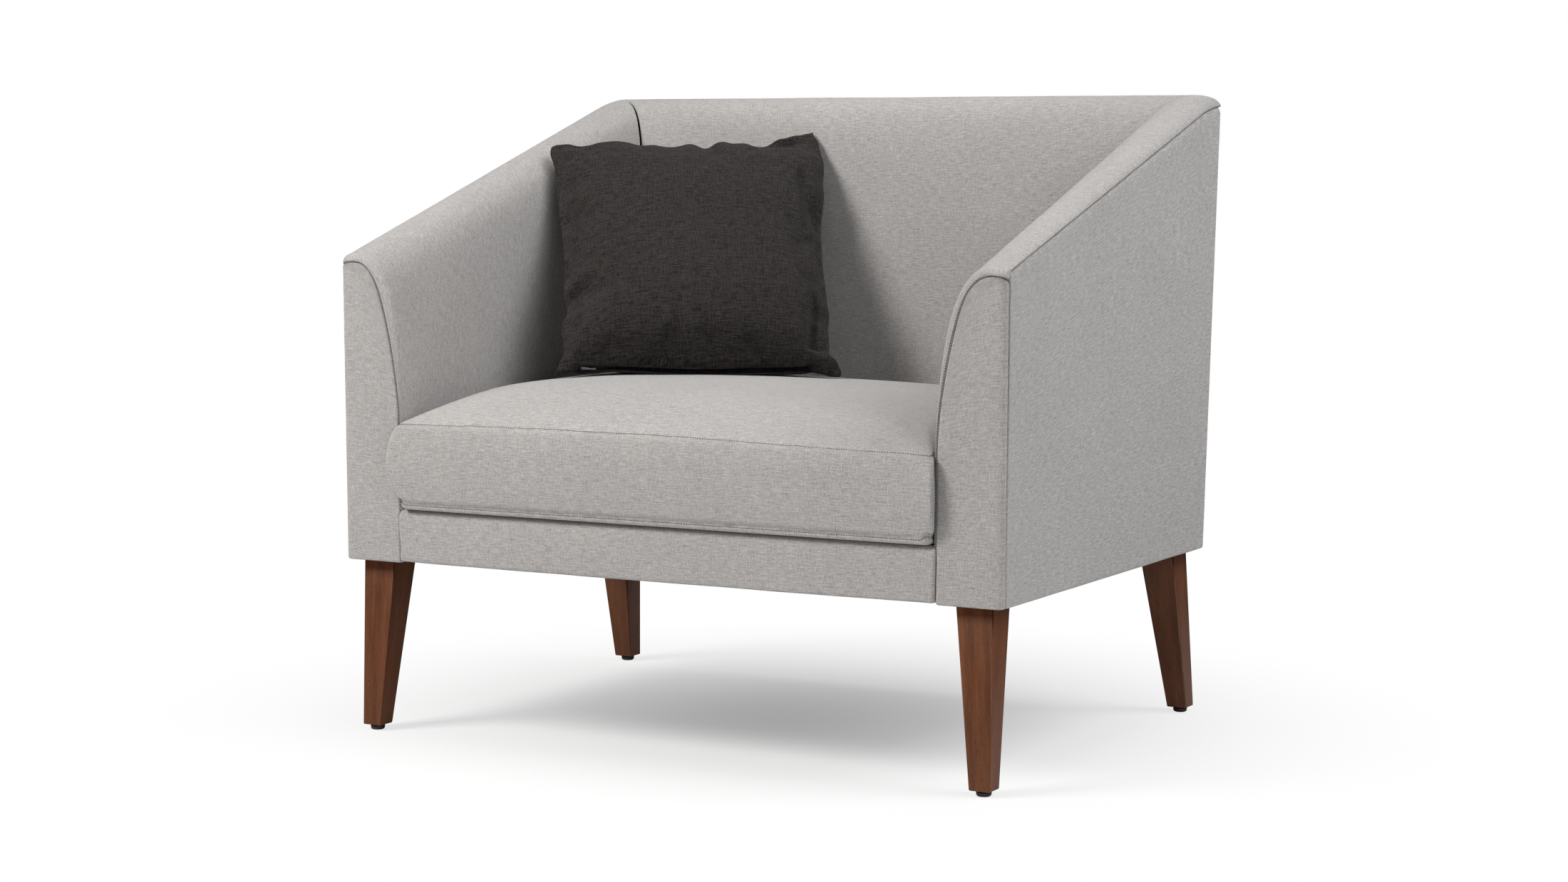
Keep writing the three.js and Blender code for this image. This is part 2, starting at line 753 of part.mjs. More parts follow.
const legHigh = railBottom - gap;
const glidePinTop = glideHeight + glidePinLength;
for (const [place, topY, splayY] of legPlaces) {
  const footX = legTopX + legSplayX;
  const footY = topY + splayY;
  const foot = chamferedSquare(legFoot / 2, footX, footY, glideHeight);
  const head = chamferedSquare(legTop / 2, legTopX, topY, legHigh);
  const leg = loft([foot, head], foot.map((p) => flat(p.x, p.y)));
  const boltBore = upright(boltRadius + boreClearance, legHigh - boltInLeg - 1, legHigh + 1, legTopX, topY);
  const pinBore = upright(glidePinRadius + boreClearance, 0, glidePinTop + boreClearance, footX, footY);
  pair("leg_" + place, cut(leg, boltBore, pinBore), walnutStain);
  const bolt = upright(boltRadius, legHigh - boltInLeg, railBottom + boltInFrame, legTopX, topY);
  pair("leg_bolt_" + place, bolt, zinc);
  const glideProfile = [
    flat(0, 0),
    flat(glideRadius - 1.5, 0),
    flat(glideRadius - 0.5, 1),
    flat(glideRadius, glideHeight - gap),
    flat(glidePinRadius, glideHeight - gap),
    flat(glidePinRadius, glidePinTop),
    flat(0, glidePinTop),
  ];
  const glide = new THREE.LatheGeometry(glideProfile, 20).rotateX(Math.PI / 2).translate(footX, footY, 0);
  pair("glide_" + place, glide, nylon);
}

// ---------------------------------------------------------------- seat cushion
const cushionSeamLow = seatLevel + cushionUnderside;
const cushionSeamHigh = cushionSeamLow + cushionBand;
const cushionHalf = sideX(seatLevel) - armThickness - slip;
const cushionFront = frontY - cushionFrontProud;
const cushionRear = (z) => rearY(z) - backThickness - slip;
const cushionMiddle = (cushionFront + cushionRear(cushionSeamHigh)) / 2;

const undersideRings = 2;
const undersideScale = 0.9; // the flat underside against the full plan
const crownRings = 7;
const cushionFullness = 3; // higher keeps the crown flat further out before it falls to the seam
const cornerSteps = 5;

// One ring of the cushion: a rounded rectangle drawn in towards the middle by a scale.
function cushionRing(scale, z, depth, bulge) {
  const half = (cushionHalf - depth) * scale;
  const front = lerp(cushionMiddle, cushionFront - bulge + depth, scale);
  const rear = lerp(cushionMiddle, cushionRear(Math.min(z, cushionSeamHigh)) - depth, scale);
  const corner = (cushionCorner - depth) * scale;
  const centres = [
    [half - corner, front + corner, -1],
    [half - corner, rear - corner, 0],
    [corner - half, rear - corner, 1],
    [corner - half, front + corner, 2],
  ];
  return centres.flatMap(([x, y, quarter]) =>
    [...Array(cornerSteps + 1).keys()].map((k) => {
      const angle = ((quarter + k / cornerSteps) * Math.PI) / 2;
      return vec(x + corner * Math.cos(angle), y + corner * Math.sin(angle), z);
    }),
  );
}

function cushionBody(depth) {
  const low = seatLevel + depth;
  const high = cushionSeamHigh - depth;
  const rings = [];
  for (let k = 0; k <= undersideRings; k++) {
    const turn = ((k / undersideRings) * Math.PI) / 2;
    const z = lerp(cushionSeamLow + depth, low, Math.cos(turn));
    rings.push(cushionRing(lerp(undersideScale, 1, Math.sin(turn)), z, depth, 0));
  }
  rings.push(cushionRing(1, (cushionSeamLow + cushionSeamHigh) / 2, depth, cushionFrontBulge));
  for (let k = 0; k < crownRings; k++) {
    const turn = ((k / crownRings) * Math.PI) / 2;
    const scale = Math.cos(turn) ** (1 / cushionFullness);
    rings.push(cushionRing(scale, high + cushionCrown * Math.sin(turn), depth, 0));
  }
  return ringBody(
    rings,
    vec(0, cushionMiddle, low),
    vec(0, cushionMiddle, high + cushionCrown),
  );
}

const cushionZipZ = (cushionSeamLow + cushionSeamHigh) / 2;
const cushionZipY = cushionRear(cushionZipZ - zipSlotHeight);
const zipHalf = zipSlotHeight / 2;
const zipFloor = zipRecess + zipTapeThickness;
const cushionSlot = box(
  -cushionZipLength / 2,
  cushionZipLength / 2,
  cushionZipY - zipFloor - gap,
  cushionZipY + reach,
  cushionZipZ - zipHalf,
  cushionZipZ + zipHalf,
);
const coreDepth = coverCloth + gap;
const cushionShape = cushionBody(0);
add("seat_cushion_cover", cut(cushionShape, cushionBody(coverCloth), cushionSlot), linen());
add("seat_cushion_core", cut(cushionBody(coreDepth), cushionSlot), foam());
add(
  "seat_cushion_zip",
  box(
    -cushionZipLength / 2 + gap,
    cushionZipLength / 2 - gap,
    cushionZipY - zipFloor,
    cushionZipY - zipRecess,
    cushionZipZ - zipHalf + gap,
    cushionZipZ + zipHalf - gap,
  ),
  charcoal(),
);

// A zip slider: a body over the teeth with a flat pull tab lying along the zip.
function slider(x, front, back, z0, z1) {
  const tab = (z1 - z0) / 4;
  return join(
    box(x, x + sliderLength, front, back, z0, z1),
    box(x + sliderLength - 1, x + 2 * sliderLength, (front + back) / 2, back, z0 + tab, z1 - tab),
  );
}

const sliderEase = 0.6; // slider to the slot's edges
const sliderSink = 2; // the slider's pull lies this far under the cloth's face
add(
  "cushion_zip_slider",
  slider(
    -cushionZipLength / 2 + sliderEase,
    cushionZipY - zipRecess + gap,
    cushionZipY - sliderSink,
    cushionZipZ - zipHalf + sliderEase,
    cushionZipZ + zipHalf - sliderEase,
  ),
  zinc(),
);

// ---------------------------------------------------------------- scatter pillow
const pillow = new THREE.Group();
pillow.rotation.set(
  THREE.MathUtils.degToRad(-pillowLean),
  THREE.MathUtils.degToRad(-pillowRoll),
  THREE.MathUtils.degToRad(pillowYaw),
  "ZXY",
);
chair.add(pillow);

const pillowCells = 10;
const spread = [...Array(pillowCells + 1).keys()].map((k) =>
  Math.sin((Math.PI / 2) * ((2 * k) / pillowCells - 1)),
);

// A plump square: full in the middle, thin at the seam, its sides drawn in between the corners
// except along the straight lower edge that holds the zip.
function pillowPoint(a, b, face, depth) {
  const drawX = 1 - pillowWaist * (1 - b * b);
  const drawZ = b > 0 ? 1 - pillowWaist * (1 - a * a) : 1;
  const full = Math.sqrt((1 - a * a) * (1 - b * b));
  return vec(
    a * (pillowHalf - depth) * drawX,
    face * (pillowHalfThickness - depth) * full,
    b * (pillowHeightHalf - depth) * drawZ,
  );
}

function pillowBody(depth) {
  const size = pillowCells + 1;
  const points = [-1, 1].flatMap((face) =>
    spread.flatMap((b) => spread.map((a) => pillowPoint(a, b, face, depth))),
  );
  const triangles = [];
  for (let r = 0; r < pillowCells; r++) {
    for (let c = 0; c < pillowCells; c++) {
      const [p, q, s, t] = [r * size + c, r * size + c + 1, (r + 1) * size + c + 1, (r + 1) * size + c];
      const outwardDiagonal = r < pillowCells / 2 === c < pillowCells / 2;
      const cell = outwardDiagonal ? [[p, q, s], [p, s, t]] : [[p, q, t], [q, s, t]];
      for (const [i, j, k] of cell) {
        triangles.push([i, j, k], [i + size * size, k + size * size, j + size * size]);
      }
    }
  }
  return closedBody(points, triangles);
}

// How far a solid can move along a direction before it is a gap away from an obstacle.
function travelTo(solid, direction, obstacle) {
  let clear = 0;
  let blocked = 2 * pillowHalf;
  for (let pass = 0; pass < 16; pass++) {
    const middle = (clear + blocked) / 2;
    const moved = solid.translate(direction.clone().multiplyScalar(middle).toArray());
    if (moved.minGap(obstacle, 1) > gap) clear = middle;
    else blocked = middle;
  }
  return clear;
}

// The pillow starts over the middle of the cushion, and is let down, pushed against the back and
// then the arm, eased off them, lifted and let down again until anything stops it.
pillow.position.z = cushionSeamHigh + cushionCrown + pillowHeightHalf;
function push(direction, obstacle) {
  pillow.updateMatrix();
  const placed = solidOf(pillowBody(0).applyMatrix4(pillow.matrix));
  pillow.position.addScaledVector(direction, travelTo(placed, direction, obstacle));
}

const leftArm = mirrored(armCover);
const down = vec(0, 0, -1);
push(down, solidOf(cushionShape));
push(vec(0, 1, 0), solidOf(backCover));
push(vec(-1, 0, 0), solidOf(leftArm));
pillow.position.add(vec(pillowEase, -pillowEase, pillowHalfThickness));
push(down, solidOf(join(cushionShape, leftArm, backCover)));

const pillowBase = -pillowHeightHalf;
const pillowSlot = box(
  -pillowZipLength / 2,
  pillowZipLength / 2,
  -zipHalf,
  zipHalf,
  pillowBase - reach,
  pillowBase + zipFloor + gap,
);
const fillingDepth = 3;
add("pillow_cover", cut(pillowBody(0), pillowBody(coverCloth), pillowSlot), charcoal(), pillow);
add("pillow_filling", cut(pillowBody(fillingDepth), pillowSlot), foam(), pillow);
add(
  "pillow_zip",
  box(
    -pillowZipLength / 2 + gap,
    pillowZipLength / 2 - gap,
    -zipHalf + gap,
    zipHalf - gap,
    pillowBase + zipRecess,
    pillowBase + zipFloor,
  ),
  charcoal(),
  pillow,
);
const pillowSlider = slider(
  -pillowZipLength / 2 + sliderEase,
  -(pillowBase + zipRecess - gap),
  -(pillowBase + sliderSink),
  -zipHalf + sliderEase,
  zipHalf - sliderEase,
).rotateX(-Math.PI / 2);
add("pillow_zip_slider", pillowSlider, zinc(), pillow);

// ---------------------------------------------------------------- stand it on its origin
const extent = new THREE.Box3().setFromObject(chair);
chair.position.y = -(extent.min.y + extent.max.y) / 2;

export default chair;
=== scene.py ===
# %% [markdown]
# # An upholstered armchair, dressed round its timber frame
# The frame, the boards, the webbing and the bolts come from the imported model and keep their
# shape. Everything that is cloth, stained wood or a fastening is made here, in metres, in the
# same place as the model, so no piece is ever fitted by eye. This first cell loads the model
# and notes how big it is.

# %% Load the model
import math
from functools import partial
import bmesh
import bpy
from mathutils import Matrix, Vector, noise
from mathutils.bvhtree import BVHTree
from mathutils.kdtree import KDTree


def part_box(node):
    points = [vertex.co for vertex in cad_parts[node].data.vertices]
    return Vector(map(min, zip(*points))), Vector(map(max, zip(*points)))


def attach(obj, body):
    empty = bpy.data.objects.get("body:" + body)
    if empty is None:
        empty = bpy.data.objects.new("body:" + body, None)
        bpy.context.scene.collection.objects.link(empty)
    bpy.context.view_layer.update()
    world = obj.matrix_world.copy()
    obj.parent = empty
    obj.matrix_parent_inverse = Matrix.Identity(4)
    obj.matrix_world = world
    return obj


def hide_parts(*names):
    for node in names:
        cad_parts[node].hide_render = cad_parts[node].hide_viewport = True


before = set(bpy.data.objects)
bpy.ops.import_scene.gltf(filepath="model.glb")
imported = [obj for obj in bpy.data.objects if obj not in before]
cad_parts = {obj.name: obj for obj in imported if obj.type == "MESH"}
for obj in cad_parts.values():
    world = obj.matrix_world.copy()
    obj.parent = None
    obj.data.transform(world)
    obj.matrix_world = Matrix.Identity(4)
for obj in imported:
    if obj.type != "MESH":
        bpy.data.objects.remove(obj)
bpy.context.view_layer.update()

# %% [markdown]
# ## The sizes that the covers share
# A cover is cut to the frame under it, so its sizes are read from the model's own covers
# where they can be, and written once here where they are part of a curve. A depth `u` runs
# in from a side face and `z` runs up, as an upholsterer measures an arm's section.

# %% Shared sizes
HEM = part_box("arm_outer_cover_right")[0].z  # the lower edge of the body
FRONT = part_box("arm_outer_cover_right")[0].y  # the arm fronts
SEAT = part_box("arm_inner_cover_right")[0].z  # the deck that the cushion lies on
TOP_LINE = HEM + 0.607  # the back's top
ARM_TOP_FRONT = HEM + 0.396  # the crest of an arm at its front
ARM_WIDE = 0.092  # from a side face in to the arm's wall
PADDED_EDGE = 0.014  # radius of the padded front edge
EDGE_BACK = FRONT + PADDED_EDGE  # where that edge has turned into the arm's top
SIDE_TURN = 0.0033  # how far a flat side wraps in to its rear corner seam
SIDE_END = 0.004  # how far from the rear that wrap starts
CORNER = 0.0085  # radius of an arm front's outer corner
CORNER_SEAM = 0.0100  # how far back on the side that corner's seam lies
NOSE_ROLL = 0.016  # how far back the arm's cloth turns down at its outer seam
NOSE_LOW = 0.013  # how far below that seam the arm front's corner lies
LEVEL_AT = FRONT + 0.650  # where the sloping arm meets the back's top line
LEVELLING = 0.040  # half the length over which it turns level
SLOPE = (TOP_LINE - ARM_TOP_FRONT) / (LEVEL_AT - FRONT)
BODY_HALF = 0.471  # half the body's width at its hem
SIDE_LEAN = 0.004  # how far each side has leant out by the top line
BODY_DEEP = 0.642  # from the arm fronts to the rear face at its hem
REAR_LEAN = 0.036  # how far the rear face has leant back by the top line
SAME = 1e-6  # points nearer than this are one place
print("hem", round(HEM, 4), "seat", round(SEAT, 4), "front", round(FRONT, 4))


def mix(a, b, share):
    return a + (b - a) * share


def ease(low, high, value):
    share = min(max((value - low) / (high - low), 0), 1)
    return share * share * (3 - 2 * share)


def rise(z):
    return (z - HEM) / (TOP_LINE - HEM)


def side_at(z):
    return BODY_HALF + SIDE_LEAN * rise(z)


def rear_at(z):
    return FRONT + BODY_DEEP + REAR_LEAN * rise(z)


# %% [markdown]
# ## Stage, camera and lights
# The chair stands on a white sweep, lit by large soft lamps from the front left and right and
# from above. A floor could be lit until it turns white, but that would wash out the cloth, so
# here the white is in the floor's and the world's own colour as the camera sees it, and the
# lamps stay plain. Near the chair the floor is real and takes its shadow.

# %% Camera
scene = bpy.context.scene
scene.view_settings.view_transform = "Standard"

camera_data = bpy.data.cameras.new("camera")
camera_data.sensor_width = 36
camera_data.lens = 71.3
camera = bpy.data.objects.new("camera", camera_data)
scene.collection.objects.link(camera)
turn, dip = math.radians(28.763), math.radians(5.5)
sight = Vector((-math.sin(turn) * math.cos(dip), math.cos(turn) * math.cos(dip), -math.sin(dip)))
camera.location = (1.96565, -3.58047, 0.76716)
camera.rotation_mode = "QUATERNION"
camera.rotation_quaternion = sight.to_track_quat("-Z", "Y")
scene.camera = camera
print("camera", tuple(round(v, 3) for v in camera.location))

# %% World and lamps
WHITE = (1, 1, 1, 1)


def feed(tree, socket, value):
    """Links another node's output to a socket, or sets the socket to a plain value."""
    if isinstance(value, bpy.types.NodeSocket):
        tree.links.new(value, socket)
    else:
        socket.default_value = value


def add_node(tree, kind, inputs=None, **settings):
    """A shader node with its settings made and its named or numbered inputs fed."""
    node = tree.nodes.new("ShaderNode" + kind)
    for name, value in settings.items():
        setattr(node, name, value)
    for name, value in (inputs or {}).items():
        feed(tree, node.inputs[name], value)
    return node


world = bpy.data.worlds.new("studio")
scene.world = world
world.use_nodes = True
tree = world.node_tree
tree.nodes.clear()
ray = add_node(tree, "LightPath").outputs
either = add_node(
    tree, "Math", {0: ray["Is Camera Ray"], 1: ray["Is Transmission Ray"]}, operation="MAXIMUM"
)
soft_light = add_node(tree, "Background", {"Color": WHITE, "Strength": 0.06})
backdrop = add_node(tree, "Background", {"Color": WHITE, "Strength": 1})
chosen = add_node(
    tree, "MixShader", {0: either.outputs[0], 1: soft_light.outputs[0], 2: backdrop.outputs[0]}
)
add_node(tree, "OutputWorld", {"Surface": chosen.outputs[0]})


def lamp(name, place, aim, size, watts, tint=(1, 1, 1)):
    light = bpy.data.lights.new(name, "AREA")
    light.color = tint
    light.shape = "RECTANGLE"
    light.size, light.size_y = size
    light.energy = watts
    holder = bpy.data.objects.new(name, light)
    holder.location = place
    holder.rotation_mode = "QUATERNION"
    holder.rotation_quaternion = (Vector(aim) - Vector(place)).to_track_quat("-Z", "Y")
    scene.collection.objects.link(holder)


WARM, COOL = (1, 0.985, 0.965), (0.985, 0.99, 1)
lamp("lamp_left", (-1.5, -2.1, 2.6), aim=(0, 0, 0.45), size=(1.2, 1.2), watts=100, tint=WARM)
lamp("lamp_front_right", (3.0, -1.9, 1.9), aim=(0, 0, 0.5), size=(1.5, 1.5), watts=19)
lamp("lamp_side", (2.2, 0.3, 2.6), aim=(0, 0, 0.4), size=(1.5, 1.5), watts=51, tint=COOL)
lamp("lamp_above", (0.3, 0.0, 3.0), aim=(0, 0, 0.3), size=(1.8, 1.6), watts=17)

# %% Floor
floor_finish = bpy.data.materials.new("floor")
floor_finish.use_nodes = True
tree = floor_finish.node_tree
tree.nodes.clear()
where = add_node(tree, "TexCoord").outputs["Object"]
far = add_node(tree, "VectorMath", {0: where}, operation="LENGTH")
reach = {"Value": far.outputs["Value"], "From Min": 0, "From Max": 0.95, "To Min": 0.36}
fade = add_node(tree, "MapRange", reach, interpolation_type="SMOOTHSTEP")
ray = add_node(tree, "LightPath").outputs
shown = add_node(
    tree, "Math", {0: fade.outputs["Result"], 1: ray["Is Camera Ray"]}, operation="MULTIPLY"
)
matt = add_node(tree, "BsdfDiffuse", {"Color": (0.86, 0.86, 0.86, 1)})
white = add_node(tree, "Emission", {"Color": WHITE, "Strength": 1})
chosen = add_node(tree, "MixShader", {0: shown.outputs[0], 1: matt.outputs[0], 2: white.outputs[0]})
add_node(tree, "OutputMaterial", {"Surface": chosen.outputs[0]})

floor_mesh = bpy.data.meshes.new("floor")
bm = bmesh.new()
bmesh.ops.create_grid(bm, x_segments=2, y_segments=2, size=30)
bm.to_mesh(floor_mesh)
bm.free()
floor = bpy.data.objects.new("floor", floor_mesh)
floor_mesh.materials.append(floor_finish)
scene.collection.objects.link(floor)
print("floor", len(floor_mesh.polygons), "faces")

# %% [markdown]
# ## Woven cloth
# Linen-look cloth is a twill of thick and thin yarns in mixed greys. It could be a picture
# laid on the panels, but threads have to run along each panel's own cut, so the weave is
# worked out from a cloth map in metres: whole numbers of threads each way, which thread is
# on top, how round it is, with painted shade in the gaps between yarns, and how its colour
# drifts along its length. It is one node group, so the linen, the charcoal and the belts are
# the same weave with other yarns.


# %% The weave as a node group
def group_of(name, inputs):
    """A group that gives a colour, a height and a roughness, and the ends inside it."""
    tree = bpy.data.node_groups.new(name, "ShaderNodeTree")
    for kind, label, value in inputs:
        socket = tree.interface.new_socket(label, in_out="INPUT", socket_type="NodeSocket" + kind)
        if value is not None:
            socket.default_value = value
    for kind, label in (("Color", "Color"), ("Float", "Height"), ("Float", "Roughness")):
        tree.interface.new_socket(label, in_out="OUTPUT", socket_type="NodeSocket" + kind)
    return tree, tree.nodes.new("NodeGroupInput").outputs, tree.nodes.new("NodeGroupOutput").inputs


def sums(tree, operation, *values, clamp=False):
    values = dict(enumerate(values))
    return add_node(tree, "Math", values, operation=operation, use_clamp=clamp).outputs[0]


def sway(tree, value, middle, share, start, clamp=False):
    """A start, plus a share of how far a value lies from its middle."""
    off = sums(tree, "SUBTRACT", value, middle)
    return sums(tree, "MULTIPLY_ADD", off, share, start, clamp=clamp)


def blend_colour(tree, share, a, b):
    return add_node(tree, "Mix", {0: share, 6: a, 7: b}, data_type="RGBA").outputs[2]


def stretched_noise(tree, place, scale, detail=2):
    fit = add_node(tree, "Mapping", {"Vector": place, "Scale": scale})
    cloud = add_node(tree, "TexNoise", {"Vector": fit.outputs[0], "Scale": 1, "Detail": detail})
    return cloud.outputs["Fac"]


weave, given, result = group_of("weave", [
    ("Vector", "Cloth", None),
    ("Color", "Pale Yarn", (0.5, 0.48, 0.46, 1)),
    ("Color", "Dark Yarn", (0.3, 0.29, 0.28, 1)),
    ("Float", "Yarn", 0.0008),
    ("Float", "Slub", 0.5),
    ("Float", "Melange", 1.0),
])
calc, cloud = partial(sums, weave), partial(stretched_noise, weave, given["Cloth"])
parts = add_node(weave, "SeparateXYZ", {0: given["Cloth"]}).outputs
numbers, rounds, shades = [], [], []
WARP = ("X", 0.37, 0.12, (620, 70, 1))  # its axis, its seed, its yarns' spread, its slubs
WEFT = ("Y", 9.71, 0.16, (50, 620, 1))
for axis, seed, spread, slubs in (WARP, WEFT):
    threads = calc("DIVIDE", parts[axis], given["Yarn"])
    numbers.append(calc("FLOOR", threads))
    rounds.append(calc("SINE", calc("MULTIPLY", calc("FRACT", threads), math.pi)))
    which = {"W": calc("ADD", numbers[-1], seed)}
    yarn = add_node(weave, "TexWhiteNoise", which, noise_dimensions="1D").outputs["Value"]
    shades.append(calc("ADD", calc("MULTIPLY", yarn, spread), cloud(slubs)))
step = calc("FLOORED_MODULO", calc("ADD", *numbers), 4)
warp_on_top = calc("LESS_THAN", step, 1.5)
yarn_round_and_gap_shade = calc("MULTIPLY", *rounds)
melange = calc("MULTIPLY", cloud((700, 120, 1)), 0.4)  # streaks along the warp
melange = calc("MULTIPLY_ADD", cloud((75, 700, 1)), 0.7, melange)  # and along the weft
melange = calc("MULTIPLY_ADD", cloud((420, 420, 1), 3), 0.6, melange)  # and small clumps
top_shade = add_node(weave, "Mix", {0: warp_on_top, 2: shades[1], 3: shades[0]}).outputs[0]
shade = sway(weave, top_shade, 0.57, calc("MULTIPLY", given["Slub"], 2.2), 0.42)
# Painted shade: yarns are lighter on their round middles and darker in the gaps between them; the
# same roundness also drives the bump
shade = calc("ADD", shade, calc("MULTIPLY", yarn_round_and_gap_shade, 0.22))
shade = sway(weave, melange, 0.85, given["Melange"], shade)
shade = sway(weave, cloud((9, 9, 1), 3), 0.5, 0.14, shade, clamp=True)
feed(weave, result["Color"], blend_colour(weave, shade, given["Dark Yarn"], given["Pale Yarn"]))
raised = calc("MULTIPLY_ADD", warp_on_top, 0.35, calc("MULTIPLY", yarn_round_and_gap_shade, 0.65))
feed(weave, result["Height"], raised)
feed(weave, result["Roughness"], calc("MULTIPLY_ADD", shade, -0.1, 0.96))
print("weave", len(weave.nodes), "nodes")


# %% Finishes made from the weave
def finish_of(name, roughness=0.5, metallic=0.0):
    finish = bpy.data.materials.new(name)
    finish.use_nodes = True
    surface = finish.node_tree.nodes["Principled BSDF"]
    surface.inputs["Roughness"].default_value = roughness
    surface.inputs["Metallic"].default_value = metallic
    return finish, finish.node_tree, surface


def coordinates(tree, kind, turn=(0, 0, 0)):
    if kind == "cloth":
        place = add_node(tree, "UVMap", uv_map="cloth").outputs[0]
    else:
        place = add_node(tree, "TexCoord").outputs[kind]
    return add_node(tree, "Mapping", {"Vector": place, "Rotation": turn}).outputs[0]


def relief(tree, surface, height, depth):
    bump = add_node(tree, "Bump", {"Height": height, "Distance": depth, "Strength": 1})
    feed(tree, surface.inputs["Normal"], bump.outputs["Normal"])


def finish_from(group, name, place, values, depth, shader):
    """A finish whose colour, roughness and relief come from a group laid on its place."""
    finish, tree, surface = finish_of(name)
    values = {0: coordinates(tree, *place), **values}
    pattern = add_node(tree, "Group", values, node_tree=group).outputs
    shader = {**shader, "Base Color": pattern["Color"], "Roughness": pattern["Roughness"]}
    for label, value in shader.items():
        feed(tree, surface.inputs[label], value)
    relief(tree, surface, pattern["Height"], depth)
    return finish


def cloth_finish(name, pale, dark, yarn, slub, depth, sheen, place="cloth", melange=1):
    yarns = {"Pale Yarn": (*pale, 1), "Dark Yarn": (*dark, 1), "Yarn": yarn, "Slub": slub}
    shader = {"Sheen Weight": sheen, "Sheen Roughness": 0.5, "Specular IOR Level": 0.25}
    return finish_from(weave, name, (place,), {**yarns, "Melange": melange}, depth, shader)


linen = cloth_finish(
    "linen", pale=(0.66, 0.636, 0.619), dark=(0.24, 0.230, 0.224),
    yarn=0.0008, slub=0.34, depth=0.00035, sheen=0.12, melange=1.3,
)
charcoal = cloth_finish(
    "charcoal", pale=(0.044, 0.0375, 0.035), dark=(0.0012, 0.0011, 0.0011),
    yarn=0.0009, slub=0.9, depth=0.0004, sheen=0.04, melange=1.9,
)
lining = cloth_finish(
    "lining", pale=(0.03, 0.03, 0.031), dark=(0.012, 0.012, 0.012),
    yarn=0.0012, slub=0.6, depth=0.0003, sheen=0.05,
)
belt_cloth = cloth_finish(
    "webbing", pale=(0.05, 0.046, 0.042), dark=(0.015, 0.014, 0.013),
    yarn=0.0018, slub=0.6, depth=0.0005, sheen=0.1, place="Object",
)
zip_cloth = cloth_finish(
    "zip_tape", pale=(0.06, 0.055, 0.052), dark=(0.02, 0.018, 0.017),
    yarn=0.0006, slub=0.4, depth=0.0002, sheen=0.05, place="Object",
)
cloths = (linen, charcoal, lining, belt_cloth, zip_cloth)
print("cloths", [cloth.name for cloth in cloths])

# %% [markdown]
# ## Wood, board, metal and thread
# The legs are hardwood stained walnut under a satin lacquer: long faint bands, short dark
# pores, and a colour that drifts. The hidden rails are the same kind of wood left pale, so
# both use one grain group, which runs along its own Z. A leg that splays has its grain turned
# with it by the Mapping node.

# %% The grain as a node group
grain, given, result = group_of("grain", [
    ("Vector", "Place", None),
    ("Color", "Pale", (0.4, 0.2, 0.1, 1)),
    ("Color", "Dark", (0.2, 0.1, 0.05, 1)),
    ("Float", "Pores", 0.5),
])
calc, cloud = partial(sums, grain), partial(stretched_noise, grain, given["Place"])
fine = cloud((420, 420, 26))
pale_share = sway(grain, cloud((70, 70, 4), 3), 0.5, 1.6, 0.5)
pale_share = sway(grain, fine, 0.5, 0.9, pale_share)
pale_share = sway(grain, cloud((9, 9, 5)), 0.5, 0.8, pale_share, clamp=True)
pore = calc("SUBTRACT", 0.43, cloud((1500, 1500, 190), 1), clamp=True)
pore = calc("MULTIPLY", calc("MULTIPLY", pore, 9, clamp=True), given["Pores"])
wood = blend_colour(grain, pale_share, given["Dark"], given["Pale"])
darker = blend_colour(grain, 0.45, wood, (0.01, 0.006, 0.004, 1))
feed(grain, result["Color"], blend_colour(grain, pore, wood, darker))
raised = calc("MULTIPLY_ADD", pore, -0.6, calc("MULTIPLY", fine, 0.5))
feed(grain, result["Height"], raised)
rough = calc("MULTIPLY_ADD", pore, 0.18, calc("MULTIPLY_ADD", fine, 0.12, 0.34))
feed(grain, result["Roughness"], rough)
print("grain", len(grain.nodes), "nodes")


# %% Wood, board, metal and thread
QUARTER = math.pi / 2


def wood_finish(name, pale, dark, pores, depth, coat=0, turn=(0, 0, 0)):
    stain = {"Pale": (*pale, 1), "Dark": (*dark, 1), "Pores": pores}
    shader = {"Coat Weight": coat, "Coat Roughness": 0.3, "Specular IOR Level": 0.22}
    return finish_from(grain, name, ("Object", turn), stain, depth, shader)


BEECH = ((0.62, 0.44, 0.27), (0.42, 0.27, 0.15), 0.4, 0.0001)  # pale, dark, pores, relief
GRAIN_TURNS = {"upright": (0, 0, 0), "crosswise": (0, QUARTER, 0), "lengthwise": (QUARTER, 0, 0)}
beech = {
    way: wood_finish(f"beech_{way}", *BEECH, turn=turn) for way, turn in GRAIN_TURNS.items()
}


def plain_finish(name, pale, dark, fineness, depth, roughness, metallic=0.0):
    finish, tree, surface = finish_of(name, roughness, metallic)
    cloud = stretched_noise(tree, coordinates(tree, "Object"), (fineness,) * 3, 3)
    feed(tree, surface.inputs["Base Color"], blend_colour(tree, cloud, (*dark, 1), (*pale, 1)))
    rough = sums(tree, "MULTIPLY_ADD", cloud, 0.16, roughness - 0.08)
    feed(tree, surface.inputs["Roughness"], rough)
    relief(tree, surface, cloud, depth)
    return finish


board_brown = plain_finish(
    "hardboard", pale=(0.33, 0.2, 0.11), dark=(0.17, 0.1, 0.05),
    fineness=900, depth=0.0002, roughness=0.8,
)
zinc_plate = plain_finish(
    "zinc", pale=(0.62, 0.63, 0.64), dark=(0.45, 0.46, 0.47),
    fineness=400, depth=0.00004, roughness=0.34, metallic=1,
)
dark_nylon = plain_finish(
    "nylon", pale=(0.03, 0.022, 0.019), dark=(0.014, 0.011, 0.01),
    fineness=700, depth=0.00008, roughness=0.45,
)
